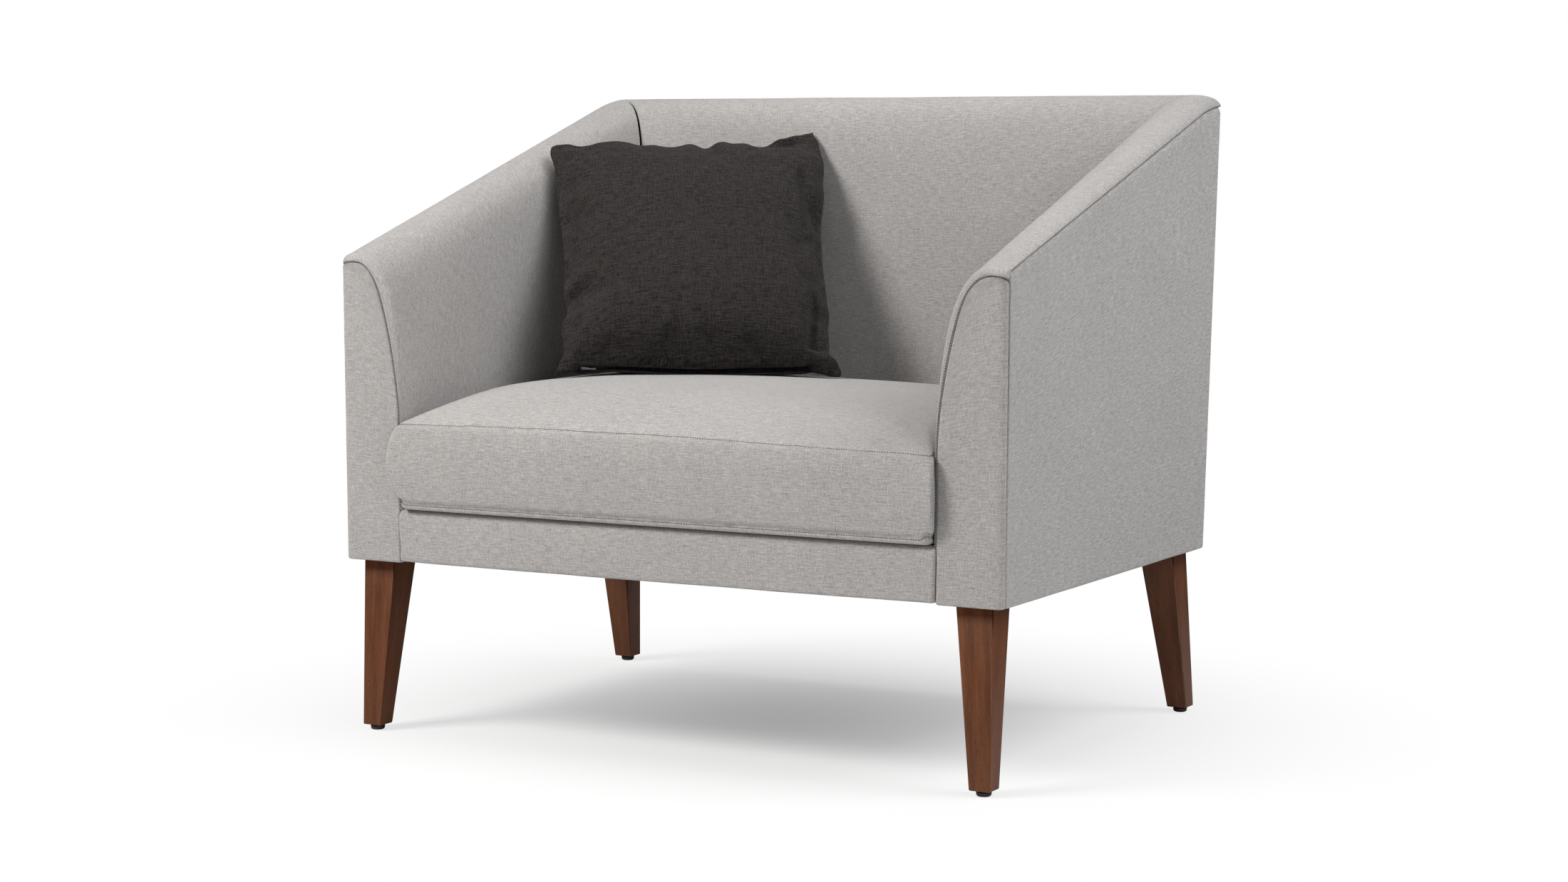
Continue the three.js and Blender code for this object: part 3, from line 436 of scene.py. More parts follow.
# Painted shade: the stitch thread's near-black is partly the thread's own colour and partly the
# shade of the needle holes it dips into
thread_dark_with_hole_shade = plain_finish(
    "thread", pale=(0.075, 0.069, 0.064), dark=(0.035, 0.032, 0.03),
    fineness=2500, depth=0.0001, roughness=0.8,
)
print("finishes", len(bpy.data.materials))

# %% [markdown]
# ## Dress what the model keeps
# Rails, posts, blocks, boards, belts and bolts have the right shape already. Their grain has
# to follow the length of each piece, so an upright, a rail across and a rail from front to
# back each get the wood turned their own way.

# %% Finishes for the model's own pieces
GRAIN_WAYS = {
    "upright": ("front_post", "rear_post"),
    "lengthwise": ("arm_top_rail", "side_rail", "corner_block"),
    "crosswise": ("back_top_rail", "back_lower_rail", "front_rail", "rear_rail"),
}
kept = {word: beech[way] for way, words in GRAIN_WAYS.items() for word in words}
kept |= {"board": board_brown, "webbing": belt_cloth, "leg_bolt": zinc_plate}
dressed = []
for name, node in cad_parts.items():
    finish = next((kept[word] for word in kept if word in name), None)
    if finish and name != "front_rail_cover":
        for place in node.material_slots:
            place.material = finish
        dressed.append(name)
print("dressed", len(dressed), "of the model's pieces")

# %% [markdown]
# ## The arm's section
# A sloping arm is a narrow fin at its front and a full rounded block where it meets the back.
# Its surface is one section drawn out along the arm: an outer curve from the top seam to the
# crest, an inner shoulder, and the wall down to the seat. The same functions place the arm,
# its front panel, the side and the back, so the panels always meet on the same seams.

# %% Curves of the arm
OUTER = 9  # points from the outer seam up to the crest
INNER = 20  # points over the shoulder
WALL = 9  # points down the wall
ACROSS = OUTER + INNER + WALL
# The first four are pairs: a measure at the arm's front, then where the arm meets the back.
SEAM_DROP = (0.007, 0.018)  # the outer seam below the crest
CREST_IN = (0.022, 0.030)  # the crest in from the side face
SHOULDER = (0.77, 0.97)  # how full the shoulder is, as a share of what lies inside the crest
WALL_TOP = (0.33, 0.57)  # the wall's top, as a share of the height above the seat
SHOULDER_LOW = 0.355  # how far above the wall the shoulder turns down, as such a share
HANDLE = 0.45  # how far along its box the outer curve's handles lie
SEAM_INSET = (0.004, 0.013)  # the front's seam in from the section, at the seat and high up
INSET_GROWS = (0.33, 0.82)  # between these shares of the height above the seat


def bezier(a, b, c, d, t):
    s = 1 - t
    return a * s**3 + 3 * b * s * s * t + 3 * c * s * t * t + d * t**3


def crest(y):
    left = LEVEL_AT + LEVELLING - y
    if left >= 2 * LEVELLING:
        return ARM_TOP_FRONT + SLOPE * (y - FRONT)
    if left <= 0:
        return TOP_LINE
    return TOP_LINE - SLOPE * left * left / (4 * LEVELLING)


def along_arm(y):
    return min(max((y - FRONT) / (LEVEL_AT - FRONT), 0), 1)


def outer_seam(y):
    return crest(y) - mix(*SEAM_DROP, along_arm(y))


def section_point(i, y):
    """One point of the arm's section at y, as (in from the side face, height)."""
    share, top = along_arm(y), crest(y)
    crest_in = mix(*CREST_IN, share)
    drop = top - outer_seam(y)
    if i <= OUTER:
        t = (i / OUTER) ** 1.5
        return Vector((
            bezier(0, 0, crest_in * HANDLE, crest_in, t),
            bezier(top - drop, top - drop * HANDLE, top, top, t),
        ))
    shoulder = (ARM_WIDE - crest_in) * mix(*SHOULDER, share)
    wall_top = mix(SEAT, top, mix(*WALL_TOP, share))
    if i <= OUTER + INNER:
        t = (i - OUTER) / INNER
        high = wall_top + (top - SEAT) * SHOULDER_LOW
        return Vector((
            bezier(crest_in, crest_in + shoulder, ARM_WIDE, ARM_WIDE, t),
            bezier(top, top, high, wall_top, t),
        ))
    return Vector((ARM_WIDE, mix(wall_top, SEAT, (i - OUTER - INNER) / WALL)))


def seam_inset(z):
    up = (z - SEAT) / (ARM_TOP_FRONT - SEAT)
    return mix(*SEAM_INSET, ease(*INSET_GROWS, up))


def moved_in(i, y, depth):
    """A point of the section, moved square to it into the arm."""
    here = section_point(i, y)
    if i == ACROSS:
        return Vector((here.x - depth, here.y))
    run = (section_point(i + 1, y) - section_point(i - 1, y)).normalized()
    return Vector((here.x + run.y * depth, here.y - run.x * depth))


def round_corner(s):
    """Cloth measured across an arm's front, taken round its corner: depth in, way back, turn."""
    if s >= CORNER:
        return s, 0.0, 0.0
    turn = min((CORNER - s) / CORNER, QUARTER)
    past = max(CORNER - s - CORNER * QUARTER, 0)
    return CORNER * (1 - math.sin(turn)), CORNER * (1 - math.cos(turn)) + past, turn


# The seam on the side, as measured across the front before the cloth is taken round.
SEAM_START = CORNER * (1 - QUARTER) - (CORNER_SEAM - CORNER)


def front_seam(i, y):
    """The arm front's seam, as (measured across the front, height)."""
    if i > OUTER:
        return moved_in(i, y, seam_inset(section_point(i, y).y))
    share, top = i / OUTER, section_point(OUTER, y)
    low = NOSE_LOW + SEAM_DROP[0] * (1 - share) ** 2.5
    return Vector((mix(SEAM_START, top.x, share), top.y - low))


print("section has", ACROSS + 1, "points")

# %% [markdown]
# ## Laying a panel of cloth
# A cut panel is a flat grid of cells whose corners are laid one by one on the shape under it,
# which is what a hand does with cloth. Modelling a closed solid would give the same
# outline, but a grid keeps rows that follow the seams. Where two panels are sewn, each edge
# dips, so the seam is a real groove, and the stitches' pull raises small puckers beside it.
# The cloth map is measured along the laid grid, so threads keep their width.


# %% Lay, tuck and keep
GROOVE = 0.0009  # how far from a seam its groove fades
PUCKER_NEAR, PUCKER_FAR = 0.002, 0.010  # puckers rise and fade this far from a seam
SLACK_FROM = 0.03  # and looser waves start this far in
PUCKERS, WAVES = 95, 13  # how close together they come
TIGHT = 0.86  # how strongly the rows of a long panel crowd towards its ends


class Panel:
    def __init__(self, across, along, place):
        self.bm = bmesh.new()
        self.across, self.along = across, along
        bmesh.ops.create_grid(self.bm, x_segments=across, y_segments=along, size=1)
        self.at = {}
        for vert in self.bm.verts:
            key = tuple(round((c + 1) / 2 * n) for c, n in zip(vert.co, (across, along)))
            self.at[key] = vert
            vert.co = place(*key)
        self.measure()

    def measure(self):
        """Lengths of cloth along each row and column, from its first corner."""
        self.u, self.v = {}, {}
        for i, j in sorted(self.at):
            spot, before, below = (self.at.get(k) for k in ((i, j), (i - 1, j), (i, j - 1)))
            self.u[i, j] = self.u[i - 1, j] + (spot.co - before.co).length if before else 0
            self.v[i, j] = self.v[i, j - 1] + (spot.co - below.co).length if below else 0

    def map_cloth(self, column, row, turned=False):
        """Threads run along the grid; lengths are counted from one column and one row."""
        cloth = self.bm.loops.layers.uv.new("cloth")
        back = {vert: key for key, vert in self.at.items()}
        for face in self.bm.faces:
            for loop in face.loops:
                i, j = back[loop.vert]
                across = self.u[i, j] - self.u[column, j]
                along = self.v[column, j] - self.v[column, row]
                loop[cloth].uv = (along, across) if turned else (across, along)

    def face(self, outward):
        self.bm.normal_update()
        total = sum((f.normal * f.calc_area() for f in self.bm.faces), Vector())
        if total.dot(outward) < 0:
            bmesh.ops.reverse_faces(self.bm, faces=self.bm.faces[:])
        self.bm.normal_update()

    def gaps(self, i, j):
        """How much cloth lies between a point and each edge of the panel."""
        return {
            "left": self.u[i, j],
            "right": self.u[self.across, j] - self.u[i, j],
            "low": self.v[i, j],
            "high": self.v[i, self.along] - self.v[i, j],
        }

    def tuck(self, seams, pucker=0.00035, loose=0.0005, seed=0):
        """Sinks each named seam to its depth and raises small puckers beside it."""
        moves = {}
        for (i, j), vert in self.at.items():
            gaps = self.gaps(i, j)
            gap = min(gaps[name] for name in seams)
            spot = vert.co + Vector((seed, 2 * seed, 3 * seed))
            sink = max(depth * math.exp(-gaps[name] / GROOVE) for name, depth in seams.items())
            near = pucker * math.exp(-gap / PUCKER_FAR) * (1 - math.exp(-gap / PUCKER_NEAR))
            wide = loose * (1 - math.exp(-gap / SLACK_FROM))
            bump = near * noise.noise(spot * PUCKERS) + wide * noise.noise(spot * WAVES)
            moves[vert] = vert.normal * (bump - sink)
        for vert, move in moves.items():
            vert.co += move


def keep(bm, name, finish, body):
    mesh = bpy.data.meshes.new(name)
    bm.to_mesh(mesh)
    bm.free()
    for polygon in mesh.polygons:
        polygon.use_smooth = True
    mesh.materials.append(finish)
    piece = bpy.data.objects.new(name, mesh)
    scene.collection.objects.link(piece)
    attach(piece, body)
    return piece


def smoothed(piece):
    finer = piece.modifiers.new("finer", "SUBSURF")
    finer.levels = finer.render_levels = 1
    return piece


def thickened(piece, thickness):
    wall = piece.modifiers.new("wall", "SOLIDIFY")
    wall.thickness = thickness
    wall.offset = -1
    return piece


def body_panel(name, cells, place, outward, start, seams, thickness, turned=False, **ways):
    """One panel of the body's linen: laid, faced, mapped from its start, tucked, made thick."""
    panel = Panel(*cells, place)
    panel.face(Vector(outward))
    panel.map_cloth(*start, turned)
    panel.tuck(seams, **ways)
    piece = keep(panel.bm, name, linen, "frame")
    print(name, len(piece.data.polygons), "cells")
    return thickened(smoothed(piece), thickness)


def shares(count, tight):
    """Shares from 0 to 1 that lie closer together near both ends."""
    return [
        k / count - tight * math.sin(2 * math.pi * k / count) / (2 * math.pi)
        for k in range(count + 1)
    ]


print("six cells drawn to both ends:", [round(share, 3) for share in shares(6, TIGHT)])

# %% [markdown]
# ## The arms
# The front, the top and the inside of an arm are one piece of cloth over wadding. It turns
# round a soft padded edge into the front panel's seam, runs back with the slope, and is
# mitred to the back. The wall goes down to the seat, where it is stapled under the deck.

# %% Arm wraps
ROLL = 10  # rows round the padded edge
RUN = 58  # rows from there to the back
MITRE = 0.75  # how far the mitre comes forward for each metre in from the side face
MITRE_GAP = 0.0001
SIDES = (("right", 1), ("left", -1))
run_shares = shares(RUN, TIGHT)


def arm_place(side):
    def place(i, j):
        turn = min(j / ROLL, 1) ** 1.4 * QUARTER
        run = run_shares[max(j - ROLL, 0)]
        reach = mix(NOSE_ROLL, PADDED_EDGE, ease(0, OUTER, i))
        flat = 1 - math.sin(turn)
        y = FRONT + reach * (1 - math.cos(turn))
        for _ in range(4):  # the section's place and its own height settle each other
            drawn = max(y, EDGE_BACK)
            if i <= OUTER:
                seam = front_seam(i, drawn)
                across, back = round_corner(seam.x)[:2]
                spot = section_point(i, drawn).lerp(Vector((across, seam.y)), flat)
                y = FRONT + mix(reach, back, math.cos(turn))
            else:
                spot = moved_in(i, drawn, seam_inset(section_point(i, drawn).y) * flat)
            if run > 0:
                end = rear_at(spot.y) - spot.x * MITRE - MITRE_GAP
                y = mix(FRONT + reach, end, run)
        return Vector((side * (side_at(spot.y) - spot.x), y, spot.y))

    return place


arm_laid, arm_wraps = {}, {}
for label, side in SIDES:
    arm_laid[label] = arm_place(side)
    piece = body_panel(
        f"arm_wrap_{label}", (ACROSS, ROLL + RUN), arm_laid[label], outward=(0, 0, 1),
        start=(OUTER, ROLL), seams={"left": 0.0036, "low": 0.0045, "high": 0.0022},
        thickness=0.0018, seed=side,
    )
    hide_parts(f"arm_inner_cover_{label}", f"arm_pad_{label}")
    arm_wraps[label] = piece

# %% [markdown]
# ## The arm fronts
# Each arm ends in a panel cut to the fin, from the hem up round the top, which turns round
# the outer corner to a seam on the side. Four edge curves are drawn on the flat panel and the
# grid is blended between them, so its rows follow the seam all round instead of being cut off
# by it. Then the panel is bent round the corner.

# %% Arm front panels
PANEL_WIDE, PANEL_HIGH = 22, 66  # cells across and up
UNDER = 4  # rows that turn under the hem
HEM_ROLL = 0.0035  # radius of that turn
HEM_TUCK = 0.006  # how much further back the first row runs, under the rail
SHARP_OUT = 5  # where the outer edge turns into the top
SHARP_IN = OUTER + 6  # and where the top turns into the inner edge


def hem_turn(row):
    """How far back and how far down a row of the turned hem lies from the face's lowest row."""
    fold = max(UNDER - row, 0) / UNDER * QUARTER
    tuck = HEM_TUCK if row == 0 else 0
    return HEM_ROLL * (1 - math.cos(fold)) + tuck, HEM_ROLL * math.sin(fold)


def along_line(points, share):
    steps = [(b - a).length for a, b in zip(points, points[1:])]
    left = share * sum(steps)
    for a, b, step in zip(points, points[1:], steps):
        if left <= step:
            return a.lerp(b, left / step if step else 0)
        left -= step
    return points[-1].copy()


# The panel's seam laid out flat, from the outer side over the top to the seat.
seam_line = [front_seam(i, EDGE_BACK) for i in range(ACROSS + 1)]
outer_edge = [Vector((seam_line[0].x, HEM + HEM_ROLL))] + seam_line[: SHARP_OUT + 1]
top_edge = seam_line[SHARP_OUT : SHARP_IN + 1]
inner_edge = [Vector((seam_line[-1].x, HEM + HEM_ROLL))] + seam_line[SHARP_IN:][::-1]
wide_shares, high_shares = shares(PANEL_WIDE, 0.75), shares(PANEL_HIGH, 0.8)


def front_place(side):
    low_out, low_in = outer_edge[0], inner_edge[0]

    def place(i, j):
        a, b = wide_shares[i], high_shares[max(j - UNDER, 0)]
        back, down = hem_turn(j)
        left, right = along_line(outer_edge, b), along_line(inner_edge, b)
        top, low = along_line(top_edge, a), low_out.lerp(low_in, a)
        spot = left.lerp(right, a) + low.lerp(top, b)
        spot -= low_out.lerp(low_in, a).lerp(top_edge[0].lerp(top_edge[-1], a), b)
        across, deep, turn = round_corner(spot.x)
        across += back * math.sin(turn)
        deep += back * math.cos(turn)
        return Vector((side * (side_at(spot.y) - across), FRONT + deep, spot.y - down))

    return place


for label, side in SIDES:
    piece = body_panel(
        f"arm_front_{label}", (PANEL_WIDE, UNDER + PANEL_HIGH), front_place(side),
        outward=(0, -1, 0), start=(0, UNDER),
        seams={"left": 0.0050, "right": 0.0045, "high": 0.0045}, thickness=0.0016, seed=side + 5,
    )
    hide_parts(f"arm_front_cover_{label}")

# %% [markdown]
# ## The flat sides
# Outside, one flat panel runs from the arm front's seam to the rear corner, which it wraps by
# a few millimetres, and from the hem to the sloping top seam. It turns under at the hem, where
# it is stapled. It is drawn as a grid from corner seam to corner seam.

# %% Side panels
TURN_STEPS = 5  # columns round each rear or front corner
SIDE_RUN = 46  # columns between the corners
SIDE_HIGH = 44  # rows from the hem to the top
side_run, side_high = shares(SIDE_RUN, 0.5), shares(SIDE_HIGH, 0.6)


def side_place(side):
    def place(i, j):
        front_turn = min(i / TURN_STEPS, 1) * QUARTER
        rear_turn = min((2 * TURN_STEPS + SIDE_RUN - i) / TURN_STEPS, 1) * QUARTER
        run = side_run[min(max(i - TURN_STEPS, 0), SIDE_RUN)]
        in_rear = SIDE_TURN * (1 - math.sin(rear_turn))
        low = NOSE_LOW * (1 - math.sin(front_turn))
        z = HEM
        for _ in range(3):
            if i < TURN_STEPS:
                y = FRONT + mix(NOSE_ROLL, CORNER_SEAM, math.cos(front_turn))
            elif i > TURN_STEPS + SIDE_RUN:
                y = rear_at(z) - SIDE_END * (1 - math.cos(rear_turn))
            else:
                y = mix(FRONT + NOSE_ROLL, rear_at(z) - SIDE_END, run)
            top = outer_seam(max(y, EDGE_BACK)) - low
            z = mix(HEM + HEM_ROLL, top, side_high[max(j - UNDER, 0)])
        back, down = hem_turn(j)
        return Vector((side * (side_at(z) - in_rear - back), y, z - down))

    return place


for label, side in SIDES:
    piece = body_panel(
        f"arm_side_{label}", (2 * TURN_STEPS + SIDE_RUN, UNDER + SIDE_HIGH), side_place(side),
        outward=(side, 0, 0), start=(TURN_STEPS, UNDER),
        seams={"left": 0.0044, "right": 0.0026, "high": 0.0036}, thickness=0.0014,
        loose=0.0004, seed=side + 9,
    )
    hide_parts(f"arm_outer_cover_{label}")

# %% [markdown]
# ## The back
# The back's section is the arm's own section at the mitre, turned the corner: each point of
# the arm's last row is carried straight across to the other arm. The rear face is a flat
# panel between the two rear corner seams.

# %% Back wrap and rear panel
BACK_RUN = 66  # columns across the back
back_shares = shares(BACK_RUN, TIGHT)


def back_place(i, j):
    left, right = (arm_laid[label](i, ROLL + RUN) for label in ("left", "right"))
    left.y = right.y = left.y + 2 * MITRE_GAP
    return left.lerp(right, back_shares[j])


back_wrap = body_panel(
    "back_wrap", (ACROSS, BACK_RUN), back_place, outward=(0, -1, 0),
    start=(OUTER, BACK_RUN // 2), seams={"left": 0.0036, "low": 0.0022, "high": 0.0022},
    thickness=0.0018, turned=True, loose=0.0007, seed=3,
)
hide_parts("back_inner_cover", "back_pad")

rear_top = section_point(0, LEVEL_AT + 0.03).y  # the outer seam, where the back's top is level


def rear_place(i, j):
    z = mix(HEM + HEM_ROLL, rear_top, side_high[max(j - UNDER, 0)])
    back, down = hem_turn(j)
    half = side_at(z) - SIDE_TURN
    return Vector((mix(-half, half, back_shares[i]), rear_at(z) - back, z - down))


rear_panel = body_panel(
    "back_rear", (BACK_RUN, UNDER + SIDE_HIGH), rear_place, outward=(0, 1, 0),
    start=(BACK_RUN // 2, UNDER), seams={"left": 0.0026, "right": 0.0026, "high": 0.0036},
    thickness=0.0014, loose=0.0006, seed=4,
)
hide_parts("back_outer_cover")

# %% [markdown]
# ## The front rail
# A padded strip covers the rail under the cushion. It is carried over the rail's top, hangs
# with a slight sag at its lower edge and turns under. Its ends are sewn to the arm fronts
# with a thin raised lip.

# %% Front rail apron
RAIL_LOW, RAIL_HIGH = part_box("front_rail_cover")
RAIL_RUN = 60  # columns along the rail
RAIL_OVER = 0.0003  # how far the strip's ends reach under the arm fronts
RAIL_PADDING = 0.0016  # how far its face swells in the middle
RAIL_SAG, RAIL_WAVER = 0.0008, 0.0007  # how its lower edge hangs and wavers
RAIL_DRAG = 0.0012  # how high the puckers at its sewn ends stand
DRAG_WAVE, DRAG_FADES = 0.0017, 0.007  # how close they are, and how soon they fade
RAIL_FACE = 8  # the row from which the threads are counted
RAIL_ROWS = [  # (how far back from the face, height up from the hem)
    (0.030, 0.0032), (0.014, 0.0026), (0.006, 0.0022), (0.0028, 0.0026), (0.0009, 0.0038),
    (0.0002, 0.0058), (0.0, 0.010), (0.0, 0.018), (0.0, 0.029), (0.0, 0.040), (0.0, 0.051),
    (0.0002, 0.0590), (0.0010, 0.0640), (0.0028, 0.0676), (0.0058, 0.0698), (0.0100, 0.0706),
    (0.0170, 0.0702), (0.0225, 0.0680), (0.0270, 0.0652), (0.0310, 0.0634), (0.0340, 0.0622),
]
RAIL_TOP = HEM + max(up for _, up in RAIL_ROWS)
rail_shares = shares(RAIL_RUN, TIGHT)


def rail_place(i, j):
    back, up = RAIL_ROWS[j]
    x = mix(RAIL_LOW.x - RAIL_OVER, RAIL_HIGH.x + RAIL_OVER, rail_shares[i])
    bow = math.sin(math.pi * rail_shares[i])
    padding = RAIL_PADDING * bow * math.sin(math.pi * min(up / 0.06, 1))
    sag = -RAIL_SAG * bow * (1 - ease(0, 0.03, up))
    sag += RAIL_WAVER * noise.noise(Vector((x * 9, 3.3, 0))) * (1 - ease(0, 0.02, up))
    end = min(x - RAIL_LOW.x, RAIL_HIGH.x - x)
    drag = RAIL_DRAG * math.cos(end / DRAG_WAVE) * math.exp(-end / DRAG_FADES)
    drag *= ease(0.02, 0.05, up)
    return Vector((x, RAIL_LOW.y + back - padding - max(drag, 0), HEM + up + sag))


apron_piece = body_panel(
    "front_rail_apron", (RAIL_RUN, len(RAIL_ROWS) - 1), rail_place, outward=(0, -1, 0),
    start=(RAIL_RUN // 2, RAIL_FACE), seams={"left": 0.004, "right": 0.004}, thickness=0.0014,
    pucker=0.0011, loose=0.0006, seed=6,
)
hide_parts("front_rail_cover")

# %% [markdown]
# ## Simulated cushions
# A loose cushion is foam and fibre pressing on a sewn case, so its case is left to find its
# own shape: air pressure inside, no gravity, and a cap on how far a point may move, so that
# it stays in the room that the chair leaves it. The grid's seams are kept through the
# simulation, so the stitching can follow them afterwards.


# %% A small cloth simulation
FRAMES = 20  # steps that a case is given to swell


def swell(piece, pressure, cap, held, stiffness=15, shrink=0):
    """Blows a case up and keeps each point's move, up to the cap."""
    pins = piece.vertex_groups.new(name="held")
    for index, weight in held.items():
        pins.add([index], weight, "REPLACE")
    cloth = piece.modifiers.new("swell", "CLOTH")
    rules = cloth.settings
    rules.quality = 6
    rules.mass = 0.25
    rules.tension_stiffness = rules.compression_stiffness = stiffness
    rules.shear_stiffness = 5
    rules.bending_stiffness = 0.6
    rules.use_pressure = True
    rules.uniform_pressure_force = pressure
    rules.shrink_min = shrink
    rules.vertex_group_mass = "held"
    rules.pin_stiffness = 1
    rules.effector_weights.gravity = 0
    cloth.point_cache.frame_start = 1
    cloth.point_cache.frame_end = FRAMES
    for number in range(1, FRAMES + 1):
        scene.frame_set(number)
    shaped = piece.evaluated_get(bpy.context.evaluated_depsgraph_get())
    most = 0.0
    for vert, found in zip(piece.data.vertices, shaped.data.vertices):
        move = found.co - vert.co
        most = max(most, move.length)
        vert.co += move * min(1, cap / max(move.length, 1e-9))
    piece.modifiers.remove(cloth)
    piece.vertex_groups.remove(pins)
    scene.frame_set(1)
    return most


def gridded_box(bm, counts):
    """A box cut into cells with so many along each axis, and each corner's place in the count."""
    bmesh.ops.create_cube(bm, size=2)
    for axis, count in enumerate(counts):
        across = [e for e in bm.edges if abs(e.verts[0].co[axis] - e.verts[1].co[axis]) > SAME]
        bmesh.ops.subdivide_edges(bm, edges=across, cuts=count - 1, use_grid_fill=True)
    bm.verts.index_update()
    return [
        tuple(round((v.co[k] + 1) / 2 * counts[k]) for k in range(3)) for v in bm.verts
    ]


print("simulation ready, skipped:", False)

# %% [markdown]
# ## The seat cushion
# A boxed cushion: a crowned top, a flatter underside and a band between them, sewn on two
# seams that run all round. The arms and the back hem it in, so its sides are flat where they
# press and its front swells free. It is a gridded box whose corners are moved to that shape.

# %% The cushion's case
CUSHION_LOW, CUSHION_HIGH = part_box("seat_cushion_cover")
SEAM_LOW, SEAM_HIGH = SEAT + 0.0155, SEAT + 0.120  # the two sewn rings
CROWN = CUSHION_HIGH.z - SEAM_HIGH  # the room for the top's swell over its ring
LOW_CORNER = 0.020  # how round the front's two lower corners are
FRONT_CORNER, REAR_CORNER = 0.011, 0.026  # how round the cushion's plan is
WALL_ROOM = 0.0012  # what is left between the cushion's seams and the walls
SWOLLEN_ROOM = 0.0007  # and between its swollen band and the arms
FRONT_PAST = 0.012  # how far its front seams stand before the arm fronts
SLOT_HALF = 0.212  # the opening in the rear band, behind which the zip lies
SLOT_DEEP = 0.0079  # how far in the cloth is folded there
SLOT_ROWS = (-0.0048, -0.0042, 0.0042, 0.0048)  # rows of cells at its lips, from its middle
SLOT_MIDDLE = SEAT + 0.0655
BAND_PLAIN = 0.0465  # the band between the lower seam and the slot's rows
SPARE_SIDE, SPARE_REAR = 0.036, 0.020  # how much wider and deeper than the case its top is cut
PAST_LEFT, PAST_RIGHT = 0.013, 0.003  # how far its front may swell past the walls
FRONT_WIDER, BAND_WIDER = 0.005, 0.014  # how much wider its front is cut, and the band there
FRONT_SWELL = 0.007  # how far the front band swells forward
SETTLED_RIGHT, SETTLED_LEFT = 0.0065, 0.0030  # how far each end has sunk in use
TOP_WAVE = 0.0011  # the unevenness of the top's filling
LIP = 0.0022  # how much higher the underside lies in front of the rail
LAID = 0.0004  # the gap between the case and what it lies on
half_wide = side_at(SEAT) - ARM_WIDE - WALL_ROOM
cushion_front = FRONT - FRONT_PAST
lower_rows = [SEAM_LOW + s * BAND_PLAIN for s in (0, 0.06, 0.14, 0.28, 0.46, 0.66, 0.85)]
cell_band = (
    lower_rows
    + [SLOT_MIDDLE + row for row in SLOT_ROWS]
    + [SEAM_LOW + SEAM_HIGH - z for z in lower_rows][::-1]
)
CUSHION_CELLS = (86, 68, len(cell_band) - 1)
cell_across, cell_deep = ([2 * s - 1 for s in shares(n, 0.72)] for n in CUSHION_CELLS[:2])


def cushion_rear(z):
    return rear_at(z) - MITRE * ARM_WIDE - WALL_ROOM


def rounded(x, y, wide, deep, corner):
    """Draws a corner of the plan in to a round one."""
    over = Vector((abs(x) - (wide - corner), abs(y) - (deep - corner)))
    if over.x <= 0 or over.y <= 0:
        return x, y
    most = max(over.x, over.y)
    over = over.normalized() * most
    return math.copysign(wide - corner + over.x, x), math.copysign(deep - corner + over.y, y)


def side_room(x, y, z):
    """How far out the cushion may reach: to the wall, round its padded edge and a little past."""
    into = min(max((EDGE_BACK - y) / PADDED_EDGE, 0), 1)
    past = (PAST_LEFT if x < 0 else PAST_RIGHT) * ease(FRONT - 0.0015, FRONT - 0.006, y)
    wall = side_at(z) - ARM_WIDE - SWOLLEN_ROOM
    return wall + seam_inset(z) * (1 - math.sqrt(1 - into * into)) + past


def rests_at(y):
    """What the cushion lies on: the padded rail at its front, then the deck."""
    lip = LIP * ease(RAIL_LOW.y + 0.002, RAIL_LOW.y - 0.008, y)
    return mix(RAIL_TOP, SEAT, ease(RAIL_LOW.y + 0.018, RAIL_LOW.y + 0.034, y)) + lip + LAID


def crown_at(a, b):
    """The top's height over its seam, which is fullest at the left and in front."""
    full = 0.78 - 0.16 * ease(-0.9, 1.1, a) - 0.12 * ease(0, 1, b)
    return CROWN * full * max((1 - abs(a) ** 5) * (1 - abs(b) ** 4), 0) ** 0.7


def cushion_place(i, j, k):
    a, b, z = cell_across[i], cell_deep[j], cell_band[k]
    on_top, below = k == CUSHION_CELLS[2], k == 0
    up = (z - SEAM_LOW) / (SEAM_HIGH - SEAM_LOW)
    sunk = SETTLED_RIGHT * ease(-0.1, 1, a) + SETTLED_LEFT * ease(-0.4, -1, a)
    settled = up * sunk * ease(0.9, 0.6, b)
    full_band = math.sin(math.pi * up) ** 0.6 if 0 < up < 1 else 0.0
    # The plan's outline at this height
    spare = SPARE_SIDE * ease(-1.05, -0.35, b) * ease(1, 0.75, b) if on_top else 0.0
    rear = cushion_rear(z) + (SPARE_REAR * ease(1, 0.8, abs(a)) if on_top else 0.0)
    middle, deep = (cushion_front + rear) / 2, (rear - cushion_front) / 2
    wide = half_wide + spare + (FRONT_WIDER + BAND_WIDER * full_band) * ease(-0.8, -0.97, b)
    x, y = rounded(a * wide, b * deep, wide, deep, FRONT_CORNER if b < 0 else REAR_CORNER)
    # The two faces
    if on_top:
        z += TOP_WAVE * noise.noise(Vector((a * 4.2, b * 4.2, 7))) + crown_at(a, b)
    elif below:
        rim = max(abs(a), abs(b), 0.9) * 10 - 9
        z = SEAM_LOW - (SEAM_LOW - SEAT - LAID) * math.sqrt(1 - min(rim, 1) ** 2)
    # The front's lower corners, its swell, and what hems the case in
    over = Vector((abs(x) - wide + LOW_CORNER, SEAM_LOW + LOW_CORNER - z))
    if min(over) > 0:
        over -= over.normalized() * max(over)
        x -= math.copysign(over.x * ease(-0.92, -1, b), x)
        z += over.y * ease(-0.92, -1, b)
    z -= settled
    y -= FRONT_SWELL * math.sin(math.pi * up) * ease(-0.8, -1, b)
    y = min(y + middle, cushion_rear(z))
    if below:
        z = max(z, rests_at(y))
    return Vector((math.copysign(min(abs(x), side_room(x, y, z)), x), y, z))


